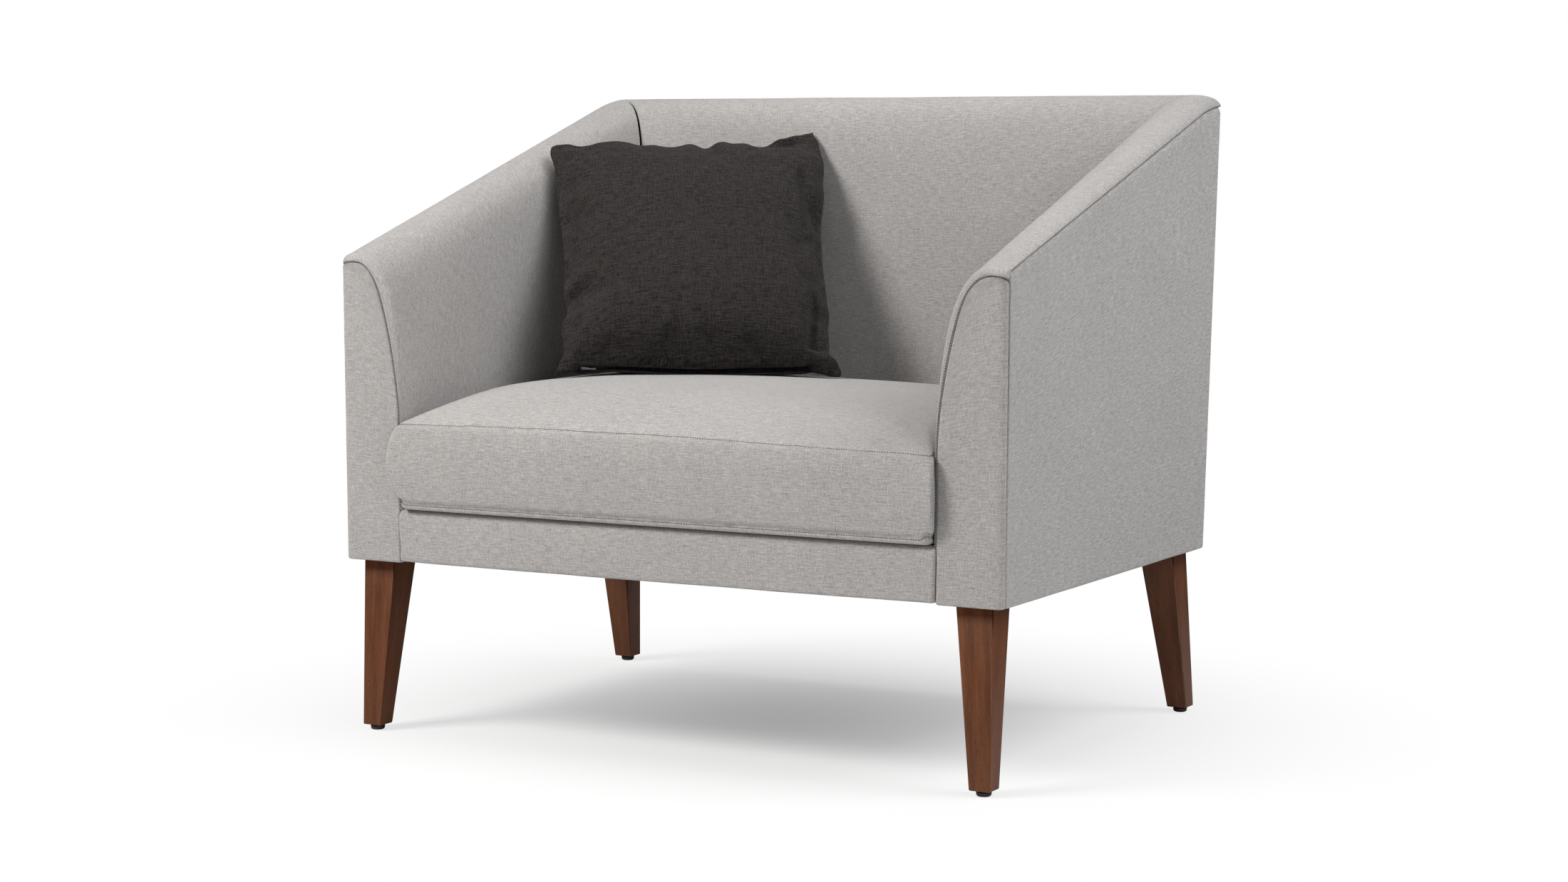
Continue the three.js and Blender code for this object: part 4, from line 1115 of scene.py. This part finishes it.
def map_flat(bm, faces_along):
    """Maps each face in metres, along the two axes that it doesn't face along."""
    cloth = bm.loops.layers.uv.new("cloth")
    for face in bm.faces:
        axis = faces_along(face)
        for loop in face.loops:
            loop[cloth].uv = [c for k, c in enumerate(loop.vert.co) if k != axis]


def box_axis(face):
    spots = [cushion_cells[v.index] for v in face.verts]
    return next(axis for axis in range(3) if len({s[axis] for s in spots}) == 1)


bm = bmesh.new()
cushion_cells = gridded_box(bm, CUSHION_CELLS)
for vert, cell in zip(bm.verts, cushion_cells):
    vert.co = cushion_place(*cell)
bmesh.ops.recalc_face_normals(bm, faces=bm.faces[:])
map_flat(bm, box_axis)
cushion = keep(bm, "seat_cushion_case", linen, "seat_cushion")
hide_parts("seat_cushion_cover", "seat_cushion_core")
print("cushion", len(cushion.data.polygons), "cells")

# %% Swell it and keep it in its place
ROLLED = 3  # cells of the underside that are free to round over at its edge


def on_edge(cell):
    return sum(value in (0, most) for value, most in zip(cell, CUSHION_CELLS)) >= 2


def in_slot(cell):
    return cell[1] == CUSHION_CELLS[1] and len(lower_rows) < cell[2] <= len(lower_rows) + 2


held = {}
for index, cell in enumerate(cushion_cells):
    inner = all(ROLLED < cell[k] < CUSHION_CELLS[k] - ROLLED for k in (0, 1))
    if inner and cell[2] == 0:
        held[index] = 1.0
    elif on_edge(cell):
        held[index] = 0.5
moved = swell(cushion, pressure=3, cap=0.007, held=held)
for vert, cell in zip(cushion.data.vertices, cushion_cells):
    co, on_band = vert.co, 0 < cell[2] < CUSHION_CELLS[2]
    co.z = min(max(co.z, rests_at(co.y)), CUSHION_HIGH.z)
    co.y = max(min(co.y, cushion_rear(co.z) + 0.0004), CUSHION_LOW.y - 0.005)
    if on_band and cell[1] >= CUSHION_CELLS[1] - 2:
        co.z = cell_band[cell[2]]
    if on_band and cell[1] == CUSHION_CELLS[1]:
        sunk = SLOT_DEEP * (1 - ease(SLOT_HALF, SLOT_HALF + 0.004, abs(co.x)))
        co.y = cushion_rear(SLOT_MIDDLE) - sunk if in_slot(cell) else min(co.y, cushion_rear(co.z))
    co.x = math.copysign(min(abs(co.x), side_room(co.x, co.y, co.z)), co.x)
print("cushion swelled by up to", round(moved, 4))

# %% Its seams
SEAMS = (0, CUSHION_CELLS[2])  # the levels of the two sewn rings
SEAM_DEEP, SEAM_WIDE = 0.0028, 0.0024  # the groove that each one pulls in


def on_rim(cell):
    return any(cell[k] in (0, CUSHION_CELLS[k]) for k in (0, 1))


def sink_seams(piece, cells):
    """Moves what lies near the sewn rings in along its normal, and gives back the rings."""
    bm = bmesh.new()
    bm.from_mesh(piece.data)
    bm.normal_update()
    rings, trees = {}, []
    for level in SEAMS:
        sewn = [vert for vert, cell in zip(bm.verts, cells) if cell[2] == level and on_rim(cell)]
        around = [vert.co.copy() for vert in sewn]
        middle = sum(around, Vector()) / len(around)
        around.sort(key=lambda p: math.atan2(p.y - middle.y, p.x - middle.x))
        rings[level] = around
        tree = KDTree(len(around))
        for number, point in enumerate(around):
            tree.insert(point, number)
        tree.balance()
        trees.append(tree)
    for vert in bm.verts:
        gap = min(tree.find(vert.co)[2] for tree in trees)
        if gap < 6 * SEAM_WIDE:
            vert.co -= vert.normal * SEAM_DEEP * math.exp(-((gap / SEAM_WIDE) ** 1.2))
    crease = bm.edges.layers.float.new("crease_edge")
    for edge in bm.edges:
        one, other = (cells[v.index] for v in edge.verts)
        if one[2] in SEAMS and one[2] == other[2] and on_rim(one) and on_rim(other):
            edge[crease] = 1.0
    bm.to_mesh(piece.data)
    bm.free()
    return rings


seam_rings = sink_seams(cushion, cushion_cells)
smoothed(cushion)
print("seam points", {level: len(ring) for level, ring in seam_rings.items()})

# %% [markdown]
# ## The scatter pillow
# Two squares of charcoal cloth sewn on three sides, with a hidden zip along the lower fourth,
# filled soft. Cut flat and blown up, a case draws its own sides in and folds at its corners,
# so it starts as two nearly flat panels a little larger than the finished pillow.

# %% The pillow's case
PILLOW_CELLS = 64  # along each side of a panel
# How far the back may stand from the middle, high up, and how far down the lower edge lies.
BACK_HIGH, PILLOW_LOW = Vector((0.050, 0.190))
BACK_LOW = 0.066  # the back's room low down
FRONT_ROOM = 0.070  # the front's room half way up
FRONT_LEANS = 0.33  # how much more of it lies at the bottom and less at the top
START_FILLED = 0.9  # the share of its room that the case fills before it swells
EDGE_SAG, LEFT_SAG, RIGHT_SAG = 0.014, 0.005, 0.009  # the lower edge's sag, and its corners'
pillow_place = Matrix.Translation((-0.19916, 0.08167, 0.62061))
for axis, degrees in (("Z", 32.5), ("X", -36), ("Y", -1.8)):
    pillow_place = pillow_place @ Matrix.Rotation(math.radians(degrees), 4, axis)
pillow_shares = [2 * s - 1 for s in shares(PILLOW_CELLS, 0.55)]
# Each edge's distance from the middle, at places counted from -1 to 1 along it.
LEFT_EDGE = (
    (-1, 0.186), (-0.93, 0.179), (-0.82, 0.172), (-0.62, 0.173), (-0.47, 0.1645),
    (-0.34, 0.169), (0, 0.167), (0.45, 0.1715), (0.8, 0.1745), (0.94, 0.1790), (1, 0.1775),
)
RIGHT_EDGE = (
    (-1, 0.1975), (-0.96, 0.2), (-0.91, 0.196), (-0.84, 0.186), (-0.66, 0.188), (-0.5, 0.191),
    (-0.15, 0.189), (0.1, 0.19), (0.5, 0.199), (0.72, 0.2015), (0.88, 0.198), (1, 0.191),
)
TOP_EDGE = (
    (-1, 0.179), (-0.95, 0.182), (-0.87, 0.1825), (-0.79, 0.1795), (-0.52, 0.1835), (-0.25, 0.1775),
    (-0.12, 0.1725), (0.06, 0.1765), (0.17, 0.1685), (0.27, 0.1785), (0.42, 0.1765),
    (0.6, 0.1705), (0.75, 0.1800), (0.88, 0.1870), (0.96, 0.1910), (1, 0.1930),
)
# Folds in the front: from where, to where, in metres from the middle, how wide and how high.
FOLDED = 1.5  # how strongly they are pressed into the case
FOLDS = (
    ((0.180, 0.140), (0.190, 0.075), 0.010, 0.006),
    ((0.165, 0.100), (0.178, 0.020), 0.008, -0.005),
    ((0.150, 0.050), (0.184, -0.015), 0.007, 0.006),
    ((0.168, -0.030), (0.172, -0.110), 0.010, 0.005),
    ((0.168, -0.105), (0.158, -0.176), 0.007, -0.008),
    ((0.184, -0.150), (0.186, -0.186), 0.012, 0.007),
    ((-0.168, -0.091), (-0.142, -0.082), 0.0055, -0.006),
    ((-0.163, -0.073), (-0.135, -0.060), 0.008, 0.004),
    ((0.036, 0.172), (0.052, 0.138), 0.007, -0.006),
    ((0.112, 0.170), (0.160, 0.162), 0.007, -0.006),
    ((0.125, 0.182), (0.172, 0.180), 0.008, 0.004),
    ((-0.145, 0.182), (-0.120, 0.150), 0.008, -0.003),
    ((-0.150, -0.155), (-0.105, -0.130), 0.012, 0.003),
)


def through(stops, value):
    """The smooth line through a list of stops."""
    for (a, low), (b, high) in zip(stops, stops[1:]):
        if value <= b:
            return mix(low, high, ease(a, b, value))
    return stops[-1][1]


def lower_edge(a):
    """How far down the lower edge hangs: it sags away from its left, and at both corners."""
    corners = RIGHT_SAG * ease(0.79, 1, a) + LEFT_SAG * ease(-0.79, -1, a)
    return PILLOW_LOW + EDGE_SAG * ease(-0.8, 0.1, a) + corners


def pillow_limit(a, b, side):
    """How thick the pillow's room is: the filling has sunk, so it is fullest low down."""
    if side < 0:
        return FRONT_ROOM * math.sqrt(max((1 - a * a) * (1 - b * b), 0)) * (1 - FRONT_LEANS * b)
    low = ease(0.2, -0.8, b)
    square = abs(b) ** mix(2, 4, low)
    return mix(BACK_HIGH, BACK_LOW, low) * math.sqrt(max((1 - a * a) * (1 - square), 0))


def pillow_start(a, b, face):
    x = mix(-through(LEFT_EDGE, b), through(RIGHT_EDGE, b), (a + 1) / 2)
    z = mix(-lower_edge(a), through(TOP_EDGE, a), (b + 1) / 2)
    return Vector((x, face * START_FILLED * pillow_limit(a, b, face), z))


def fold_height(x, z):
    total = 0.0
    for start, end, width, height in FOLDS:
        run = Vector(end) - Vector(start)
        way = Vector((x, z)) - Vector(start)
        share = min(max(way.dot(run) / run.length_squared, 0), 1)
        near = math.exp(-((way - run * share).length_squared) / (width * width))
        total += FOLDED * height * near
    return total


bm = bmesh.new()
pillow_cells = gridded_box(bm, (PILLOW_CELLS, 1, PILLOW_CELLS))
marks = bm.verts.layers.float_vector.new("cell")
for vert, (i, face, j) in zip(bm.verts, pillow_cells):
    a, b = pillow_shares[i], pillow_shares[j]
    side = 1 if face else -1
    vert[marks] = (a, side, b)
    vert.co = pillow_start(a, b, side)
bmesh.ops.remove_doubles(bm, verts=bm.verts[:], dist=SAME)
bmesh.ops.recalc_face_normals(bm, faces=bm.faces[:])
map_flat(bm, lambda face: 1)
pillow = keep(bm, "pillow_case", charcoal, "throw_pillow")
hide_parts("pillow_cover", "pillow_filling")
pillow_marks = [tuple(mark.vector) for mark in pillow.data.attributes["cell"].data]
rim = {n: 1.0 for n, (a, _, b) in enumerate(pillow_marks) if max(abs(a), abs(b)) > 0.999}
print("pillow", len(pillow.data.polygons), "cells, sewn at", len(rim), "points")

# %% Fill it, fold it and open its zip
OPENING = 0.150  # half the length of the opening
SLOT_FLOOR = 2  # the first rows, which lie level behind the tapes
FLAP_STARTS = (-0.124, -0.116)  # the flap over the tapes rises from nothing between these
FULL_FOLD = 0.012  # a fold is lower where the case has less room than this
# The rows of cells round the opening, as (from its middle line, above the lower edge).
FRONT_LIP = ((0.0, 0.0078), (0.0042, 0.0076), (0.0050, 0.0004))
BARE_LIP = FRONT_LIP[:2] + ((0.0045, 0.0050), (0.0048, 0.0025), (0.0050, 0.0004), (0.0085, -0.0002))
FLAP = FRONT_LIP[:2] + ((0.0044, 0.0032), (-0.0014, 0.0020), (-0.0016, 0.0003), (0.0052, -0.0006))


def lip(side, row, x):
    """Where a row lies: the front lip is bare, and a flap hides the rear one past its end."""
    if side < 0:
        return FRONT_LIP[row] if row < len(FRONT_LIP) else None
    covered = ease(*FLAP_STARTS, x)
    return tuple(mix(bare, flap, covered) for bare, flap in zip(BARE_LIP[row], FLAP[row]))


row_heights = pillow_shares[: len(FLAP)]
moved = swell(pillow, pressure=2.2, cap=0.012, held=rim, stiffness=12, shrink=-0.02)
for vert, (a, side, b) in zip(pillow.data.vertices, pillow_marks):
    co = vert.co
    room = pillow_limit(a, b, side) + 0.001
    push = fold_height(co.x, co.z) * min(room / FULL_FOLD, 1) if side < 0 else 0
    co.y = max(-room - 0.002, min(room, co.y - push))
    row = next((n for n, height in enumerate(row_heights) if abs(b - height) < 1e-4), None)
    spot = lip(side, row, co.x) if row is not None else None
    if spot:
        opened = 1 - ease(OPENING, OPENING + 0.010, abs(co.x))
        edge = PILLOW_LOW if row < SLOT_FLOOR else lower_edge(a)
        co.y = mix(co.y, side * spot[0], opened)
        co.z = mix(co.z, spot[1] - edge, opened)
pillow.data.attributes.remove(pillow.data.attributes["cell"])
pillow.data.transform(pillow_place)
smoothed(pillow)
lowest = min(vert.co.z for vert in pillow.data.vertices)
print("pillow swelled by", round(moved, 4), "its lowest point", round(lowest, 4))

# %% [markdown]
# ## Zips
# Each cushion closes with a zip that lies at the bottom of an opening: two narrow tapes, two
# rows of moulded teeth that meet between them, and a runner with a pull tab. A strip with
# lines drawn on it would do from afar, but the teeth catch the light when the cushion is
# lifted, so they are real, from the same small ball as the stitches. The runner is three
# bevelled blocks, its front block wider than its back where the teeth enter.


# %% Tapes, teeth and runners
BATCH = 20  # tiny balls that are made at once
TOOTH_PITCH = 0.0019  # from one tooth of a tape to its next
TOOTH = Vector((0.00060, 0.00115, 0.00060))  # half a tooth's size along, across and up
TAPE_HALF = 0.0036  # half the width of both tapes together
TAPE_SUNK = 0.0066  # the tapes under the cloth's face
TAPE_BEAD = 0.00025  # how far the tapes' inner edges stand up
ZIP_END = 0.002  # bare tape before the first tooth
TOOTH_OUT, TOOTH_UP = 0.0007, 0.0008  # a tooth's middle from the zip's own line
# The runner's blocks by their low and high corners: its wide front, its rear, its bridge.
RUNNER_BLOCKS = (
    ((0.0004, -0.0032, 0.0017), (0.0064, 0.0032, 0.0030)),
    ((0.0056, -0.0025, 0.0017), (0.0112, 0.0025, 0.0029)),
    ((0.0030, -0.0009, 0.0028), (0.0095, 0.0009, 0.0043)),
)
BLOCK_EASED = 0.0004  # how far their edges are bevelled
TAB_AT, TAB_HALF, TAB_THICK = Vector((0.0150, 0, 0.0042)), (0.0055, 0.0019), 0.0007
NOTCH_FROM, NOTCH_HALF = 0.002, 0.0004  # the tab's notch: where it starts, half its width


def repeated(places):
    """One tiny ball at each place, made in batches, because an operator slows as a mesh grows."""
    whole = bmesh.new()
    handful = bpy.data.meshes.new("handful")
    for start in range(0, len(places), BATCH):
        few = bmesh.new()
        for place in places[start : start + BATCH]:
            bmesh.ops.create_uvsphere(few, u_segments=6, v_segments=4, radius=1, matrix=place)
        few.to_mesh(handful)
        few.free()
        whole.from_mesh(handful)
    bpy.data.meshes.remove(handful)
    return whole


def make_zip(name, body, half, at):
    """A zip along its own x, its tapes across y and its teeth up z, set in at its place."""
    tape = Panel(6, 60, lambda i, j: at @ Vector((
        mix(-half, half, j / 60), mix(-TAPE_HALF, TAPE_HALF, i / 6), TAPE_BEAD * (abs(i - 3) < 2)
    )))
    tape.face(at.to_3x3() @ Vector((0, 0, 1)))
    tape.map_cloth(0, 0)
    strip = keep(tape.bm, f"{name}_tape", zip_cloth, body)
    thickened(strip, 0.0006)
    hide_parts(name)

    places = []
    for number in range(2 * int(2 * (half - ZIP_END) / TOOTH_PITCH)):
        side = 1 if number % 2 else -1
        spot = (-half + ZIP_END + number * TOOTH_PITCH / 2, side * TOOTH_OUT, TOOTH_UP)
        places.append(Matrix.Translation(spot) @ Matrix.Diagonal((*TOOTH, 1)))
    bm = repeated(places)
    bmesh.ops.transform(bm, matrix=at, verts=bm.verts[:])
    keep(bm, f"{name}_teeth", dark_nylon, body)
    print(name, len(places), "teeth")


def eased_block(bm, low, high):
    made = bmesh.ops.create_cube(bm, size=1)["verts"]
    middle, size = (Vector(low) + Vector(high)) / 2, Vector(high) - Vector(low)
    place = Matrix.Translation(middle) @ Matrix.Diagonal((*size, 1))
    bmesh.ops.transform(bm, matrix=place, verts=made)
    edges = [e for e in bm.edges if e.verts[0] in made and e.verts[1] in made]
    bmesh.ops.bevel(
        bm, geom=edges, offset=BLOCK_EASED, affect="EDGES", segments=2, profile=0.5, material=-1
    )


def crisped(piece):
    crisp = piece.modifiers.new("crisp", "WEIGHTED_NORMAL")
    crisp.keep_sharp = True
    return piece


def make_runner(name, slider, start, at):
    """A runner and its pull tab, a thin plate with a notch cut in from its free end."""
    bm = bmesh.new()
    for low, high in RUNNER_BLOCKS:
        eased_block(bm, low, high)
    tab = bmesh.ops.create_grid(bm, x_segments=5, y_segments=3, size=1)["verts"]
    place = Matrix.Translation(TAB_AT) @ Matrix.Diagonal((*TAB_HALF, 1, 1))
    bmesh.ops.transform(bm, matrix=place, verts=tab)
    plate, notch = [], []
    for face in bm.faces:
        if all(v in tab for v in face.verts):
            off = face.calc_center_median() - TAB_AT
            cut = abs(off.y) < NOTCH_HALF and off.x > NOTCH_FROM
            (notch if cut else plate).append(face)
    bmesh.ops.delete(bm, geom=notch, context="FACES")
    bmesh.ops.solidify(bm, geom=plate, thickness=TAB_THICK)
    bmesh.ops.recalc_face_normals(bm, faces=bm.faces[:])
    moved = at @ Matrix.Translation((start, 0, 0))
    bmesh.ops.transform(bm, matrix=moved, verts=bm.verts[:])
    runner = crisped(keep(bm, name, zinc_plate, slider))
    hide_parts(slider)
    print(name, len(runner.data.polygons), "faces")


cushion_zip = Matrix.Translation((0, cushion_rear(SLOT_MIDDLE) - TAPE_SUNK, SLOT_MIDDLE))
cushion_zip = cushion_zip @ Matrix.Rotation(-QUARTER, 4, "X")
make_zip("seat_cushion_zip", "seat_cushion", half=0.2095, at=cushion_zip)
make_runner("cushion_zip_runner", "cushion_zip_slider", start=-0.2094, at=cushion_zip)

pillow_zip = pillow_place @ Matrix.Translation((0, 0, TAPE_SUNK - PILLOW_LOW))
pillow_zip = pillow_zip @ Matrix.Rotation(math.pi, 4, "X")
make_zip("pillow_zip", "throw_pillow", half=0.1495, at=pillow_zip)
make_runner("pillow_zip_runner", "pillow_zip_slider", start=-0.1494, at=pillow_zip)

# %% [markdown]
# ## The deck and the dust cover
# Under the cushion a thin cloth is stretched over the belts, cut in at the posts. Under the
# chair a black cloth keeps the dust in, let out round the legs and stapled to the rails. Both
# are flat cuts, so each is a grid that is cut along the sides of its notches, and the notch
# cells are taken out. The dust cover hangs a little between its staples.


# %% Deck cloth and dust cover
PAST = 1  # a place past every edge of the cloth
POST_GAP = 0.0004  # what is left open between the deck's cloth and the posts
DECK_BACK = 0.030  # how far behind the rail's face the deck's cloth starts
DECK_UNEVEN, DECK_DIP = 0.0003, 0.0004  # how uneven it lies, and how far its front edge dips
LEG_HOLE = 0.0256  # half the opening that is let out round each leg
DUST_SAG, DUST_WRINKLE = 0.0035, 0.0012  # how far its middle hangs, and how high it wrinkles
LEG_PLACES = [f"{end}_{label}" for end in ("front", "rear") for label, _ in SIDES]


def cut_cloth(low, high, cells, holes):
    """A flat grid from low to high in x and y, cut along each hole's sides and opened there."""
    bm = bmesh.new()
    bmesh.ops.create_grid(bm, x_segments=cells[0], y_segments=cells[1], size=1)
    middle, half = (Vector(low) + Vector(high)) / 2, (Vector(high) - Vector(low)) / 2
    place = Matrix.Translation((*middle, 0)) @ Matrix.Diagonal((*half, 1, 1))
    bmesh.ops.transform(bm, matrix=place, verts=bm.verts[:])
    for hole_low, hole_high in holes:
        for axis in (0, 1):
            for level in (hole_low[axis], hole_high[axis]):
                spot, way = [0, 0, 0], [0, 0, 0]
                spot[axis], way[axis] = level, 1
                everything = bm.verts[:] + bm.edges[:] + bm.faces[:]
                bmesh.ops.bisect_plane(bm, geom=everything, dist=SAME, plane_co=spot, plane_no=way)
    inside = []
    for face in bm.faces:
        spot = face.calc_center_median()
        if any(a[0] < spot.x < b[0] and a[1] < spot.y < b[1] for a, b in holes):
            inside.append(face)
    bmesh.ops.delete(bm, geom=inside, context="FACES")
    map_flat(bm, lambda face: 2)
    return bm


def centre_of(name):
    low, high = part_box(name)
    return (low + high) / 2


deck_low, deck_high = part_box("seat_deck")
fin_end, post_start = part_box("front_post_right")[1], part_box("rear_post_right")[0]
wall = side_at(deck_low.z) - ARM_WIDE
notches = []
for side in (1, -1):
    near, far = sorted((side * wall, side * PAST))
    notches.append(((near, -PAST), (far, fin_end.y + POST_GAP)))
    near, far = sorted((side * (post_start.x - POST_GAP), side * PAST))
    notches.append(((near, post_start.y - POST_GAP), (far, PAST)))
deck_start = RAIL_LOW.y + DECK_BACK
bm = cut_cloth((deck_low.x, deck_start), deck_high.xy, (70, 48), notches)
for vert in bm.verts:
    down = DECK_DIP * ease(deck_start + 0.02, deck_start, vert.co.y)
    wave = DECK_UNEVEN * noise.noise(vert.co * 14)
    vert.co.z = deck_high.z - DECK_UNEVEN + wave - down
deck = keep(bm, "deck_cloth", linen, "frame")
thickened(deck, 0.0014)
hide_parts("seat_deck")

dust_low, dust_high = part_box("dust_cover")
holes = []
for place in LEG_PLACES:
    bolt = centre_of(f"leg_bolt_{place}")
    holes.append([(bolt.x + way * LEG_HOLE, bolt.y + way * LEG_HOLE) for way in (-1, 1)])
bm = cut_cloth(dust_low.xy, dust_high.xy, (66, 46), holes)
for vert in bm.verts:
    x, y, _ = vert.co
    across = (x - dust_low.x) / (dust_high.x - dust_low.x)
    deep = (y - dust_low.y) / (dust_high.y - dust_low.y)
    edge = min(x - dust_low.x, dust_high.x - x, y - dust_low.y, dust_high.y - y)
    sag = DUST_SAG * max(math.sin(math.pi * across) * math.sin(math.pi * deep), 0) ** 0.5
    wrinkle = DUST_WRINKLE * noise.noise(Vector((x * 16, y * 16, 1))) * ease(0, 0.05, edge)
    vert.co.z = dust_high.z - (sag + wrinkle) * ease(0.03, 0.10, edge) - 0.0001
bmesh.ops.recalc_face_normals(bm, faces=bm.faces[:])
if sum(face.normal.z for face in bm.faces) > 0:
    bmesh.ops.reverse_faces(bm, faces=bm.faces[:])
dust = keep(bm, "dust_cloth", lining, "frame")
thickened(dust, 0.0008)
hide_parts("dust_cover")
print("deck", len(deck.data.polygons), "dust cover", len(dust.data.polygons), "cells")

# %% [markdown]
# ## Legs and glides
# Four square legs taper to the floor, the front pair splayed forward and the rear pair back.
# A tapered block is a cube whose upper and lower corners are moved, with its edges eased by a
# small bevel as a sander leaves them. Each stands on a moulded button.

# %% Legs
LEG_HEAD, LEG_FOOT = 0.0243, 0.0138  # half a leg's thickness at its top and at its foot
HEAD_IN = 0.002  # how far inside its bolt a leg's top stands
LEG_EASED = 0.0018  # how far in from a leg's edges the sanding reaches
WALNUT = ((0.172, 0.060, 0.024), (0.086, 0.028, 0.010), 0.75, 0.00008, 0.04)  # and its coat
# A glide's outline as (radius, height).
GLIDE = ((0, 0), (0.0074, 0), (0.0086, 0.0009), (0.0093, 0.0026), (0.0094, 0.0068), (0, 0.0068))


def make_leg(name, head, foot):
    head.x -= math.copysign(HEAD_IN, head.x)
    low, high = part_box(name)
    lean = Vector((head.x - foot.x, head.y - foot.y, high.z - low.z))
    tilt = (math.atan2(lean.y, lean.z), -math.atan2(lean.x, lean.z), 0)
    stain = wood_finish(f"walnut_{name}", *WALNUT, tilt)
    bm = bmesh.new()
    bmesh.ops.create_cube(bm, size=2)
    for vert in bm.verts:
        centre, half, z = (head, LEG_HEAD, high.z) if vert.co.z > 0 else (foot, LEG_FOOT, low.z)
        vert.co = Vector((centre.x + vert.co.x * half, centre.y + vert.co.y * half, z))
    eased = [e for e in bm.edges if any(abs(v.co.z - low.z) < SAME for v in e.verts)]
    bmesh.ops.bevel(
        bm, geom=eased, offset=LEG_EASED, affect="EDGES", segments=3, profile=0.5, material=-1
    )
    leg = crisped(keep(bm, f"{name}_turned", stain, "frame"))
    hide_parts(name)
    print(name, len(leg.data.polygons), "faces")


def make_glide(name, centre):
    bm = bmesh.new()
    points = [bm.verts.new((centre.x + x, centre.y, z)) for x, z in GLIDE]
    line = points + [bm.edges.new(pair) for pair in zip(points, points[1:])]
    bmesh.ops.spin(
        bm, geom=line, cent=centre, axis=(0, 0, 1), angle=2 * math.pi, steps=28, use_merge=True
    )
    bmesh.ops.remove_doubles(bm, verts=bm.verts[:], dist=SAME)
    bmesh.ops.recalc_face_normals(bm, faces=bm.faces[:])
    glide = keep(bm, f"{name}_button", dark_nylon, "frame")
    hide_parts(name)


for place in LEG_PLACES:
    foot = centre_of(f"glide_{place}")
    make_leg(f"leg_{place}", centre_of(f"leg_bolt_{place}"), foot)
    make_glide(f"glide_{place}", foot)

# %% [markdown]
# ## Stitching
# The seams beside the panels are topstitched: a row of short threads that dip into the cloth
# at both ends. A dashed line painted in the finish would stay flat, so each stitch is a tiny
# ball drawn long, laid on the finished cloth along the seam. It has few faces, because there
# are thousands.

# %% Sew along a line
STITCH_PITCH = 0.0034  # from one stitch to the next
STITCH = Vector((0.00128, 0.00058, 0.00036))  # half a stitch's length, width and height
BESIDE = 0.0026  # how far from the cushion's seams their stitches lie


def spaced_points(line, pitch):
    """Places at one pitch along a line, each with the line's way there."""
    points, left = [], 0.0
    for a, b in zip(line, line[1:]):
        run = b - a
        if run.length < 1e-7:
            continue
        while left <= run.length:
            points.append((a + run * (left / run.length), run.normalized()))
            left += pitch
        left -= run.length
    return points


def sew(name, line, piece, body):
    surface = BVHTree.FromObject(piece, bpy.context.evaluated_depsgraph_get())
    places = []
    for point, run in spaced_points(line, STITCH_PITCH):
        spot, normal, _, _ = surface.find_nearest(point)
        across = run.cross(normal)
        if across.length < 0.2:
            continue
        across.normalize()
        run = normal.cross(across).normalized()
        axes = Matrix((run, across, normal)).transposed().to_4x4()
        places.append(Matrix.Translation(spot) @ axes @ Matrix.Diagonal((*STITCH, 1)))
    # The stitches' dark finish also paints the shade of the needle holes
    keep(repeated(places), name, thread_dark_with_hole_shade, body)
    print(name, len(places), "stitches")


for level, word, shift in zip(SEAMS, ("lower", "upper"), (-BESIDE, BESIDE)):
    ring = [point + Vector((0, 0, shift)) for point in seam_rings[level]]
    sew(f"cushion_{word}_stitches", ring + ring[:1], cushion, "seat_cushion")

for label, _ in SIDES:
    place, wrap = arm_laid[label], arm_wraps[label]
    sew(f"arm_front_stitches_{label}", [place(i, 1) for i in range(ACROSS + 1)], wrap, "frame")
    top_line = [place(1, j) for j in range(ROLL, ROLL + RUN + 1)]
    sew(f"arm_top_stitches_{label}", top_line, wrap, "frame")
sew("back_top_stitches", [back_place(1, j) for j in range(BACK_RUN + 1)], back_wrap, "frame")
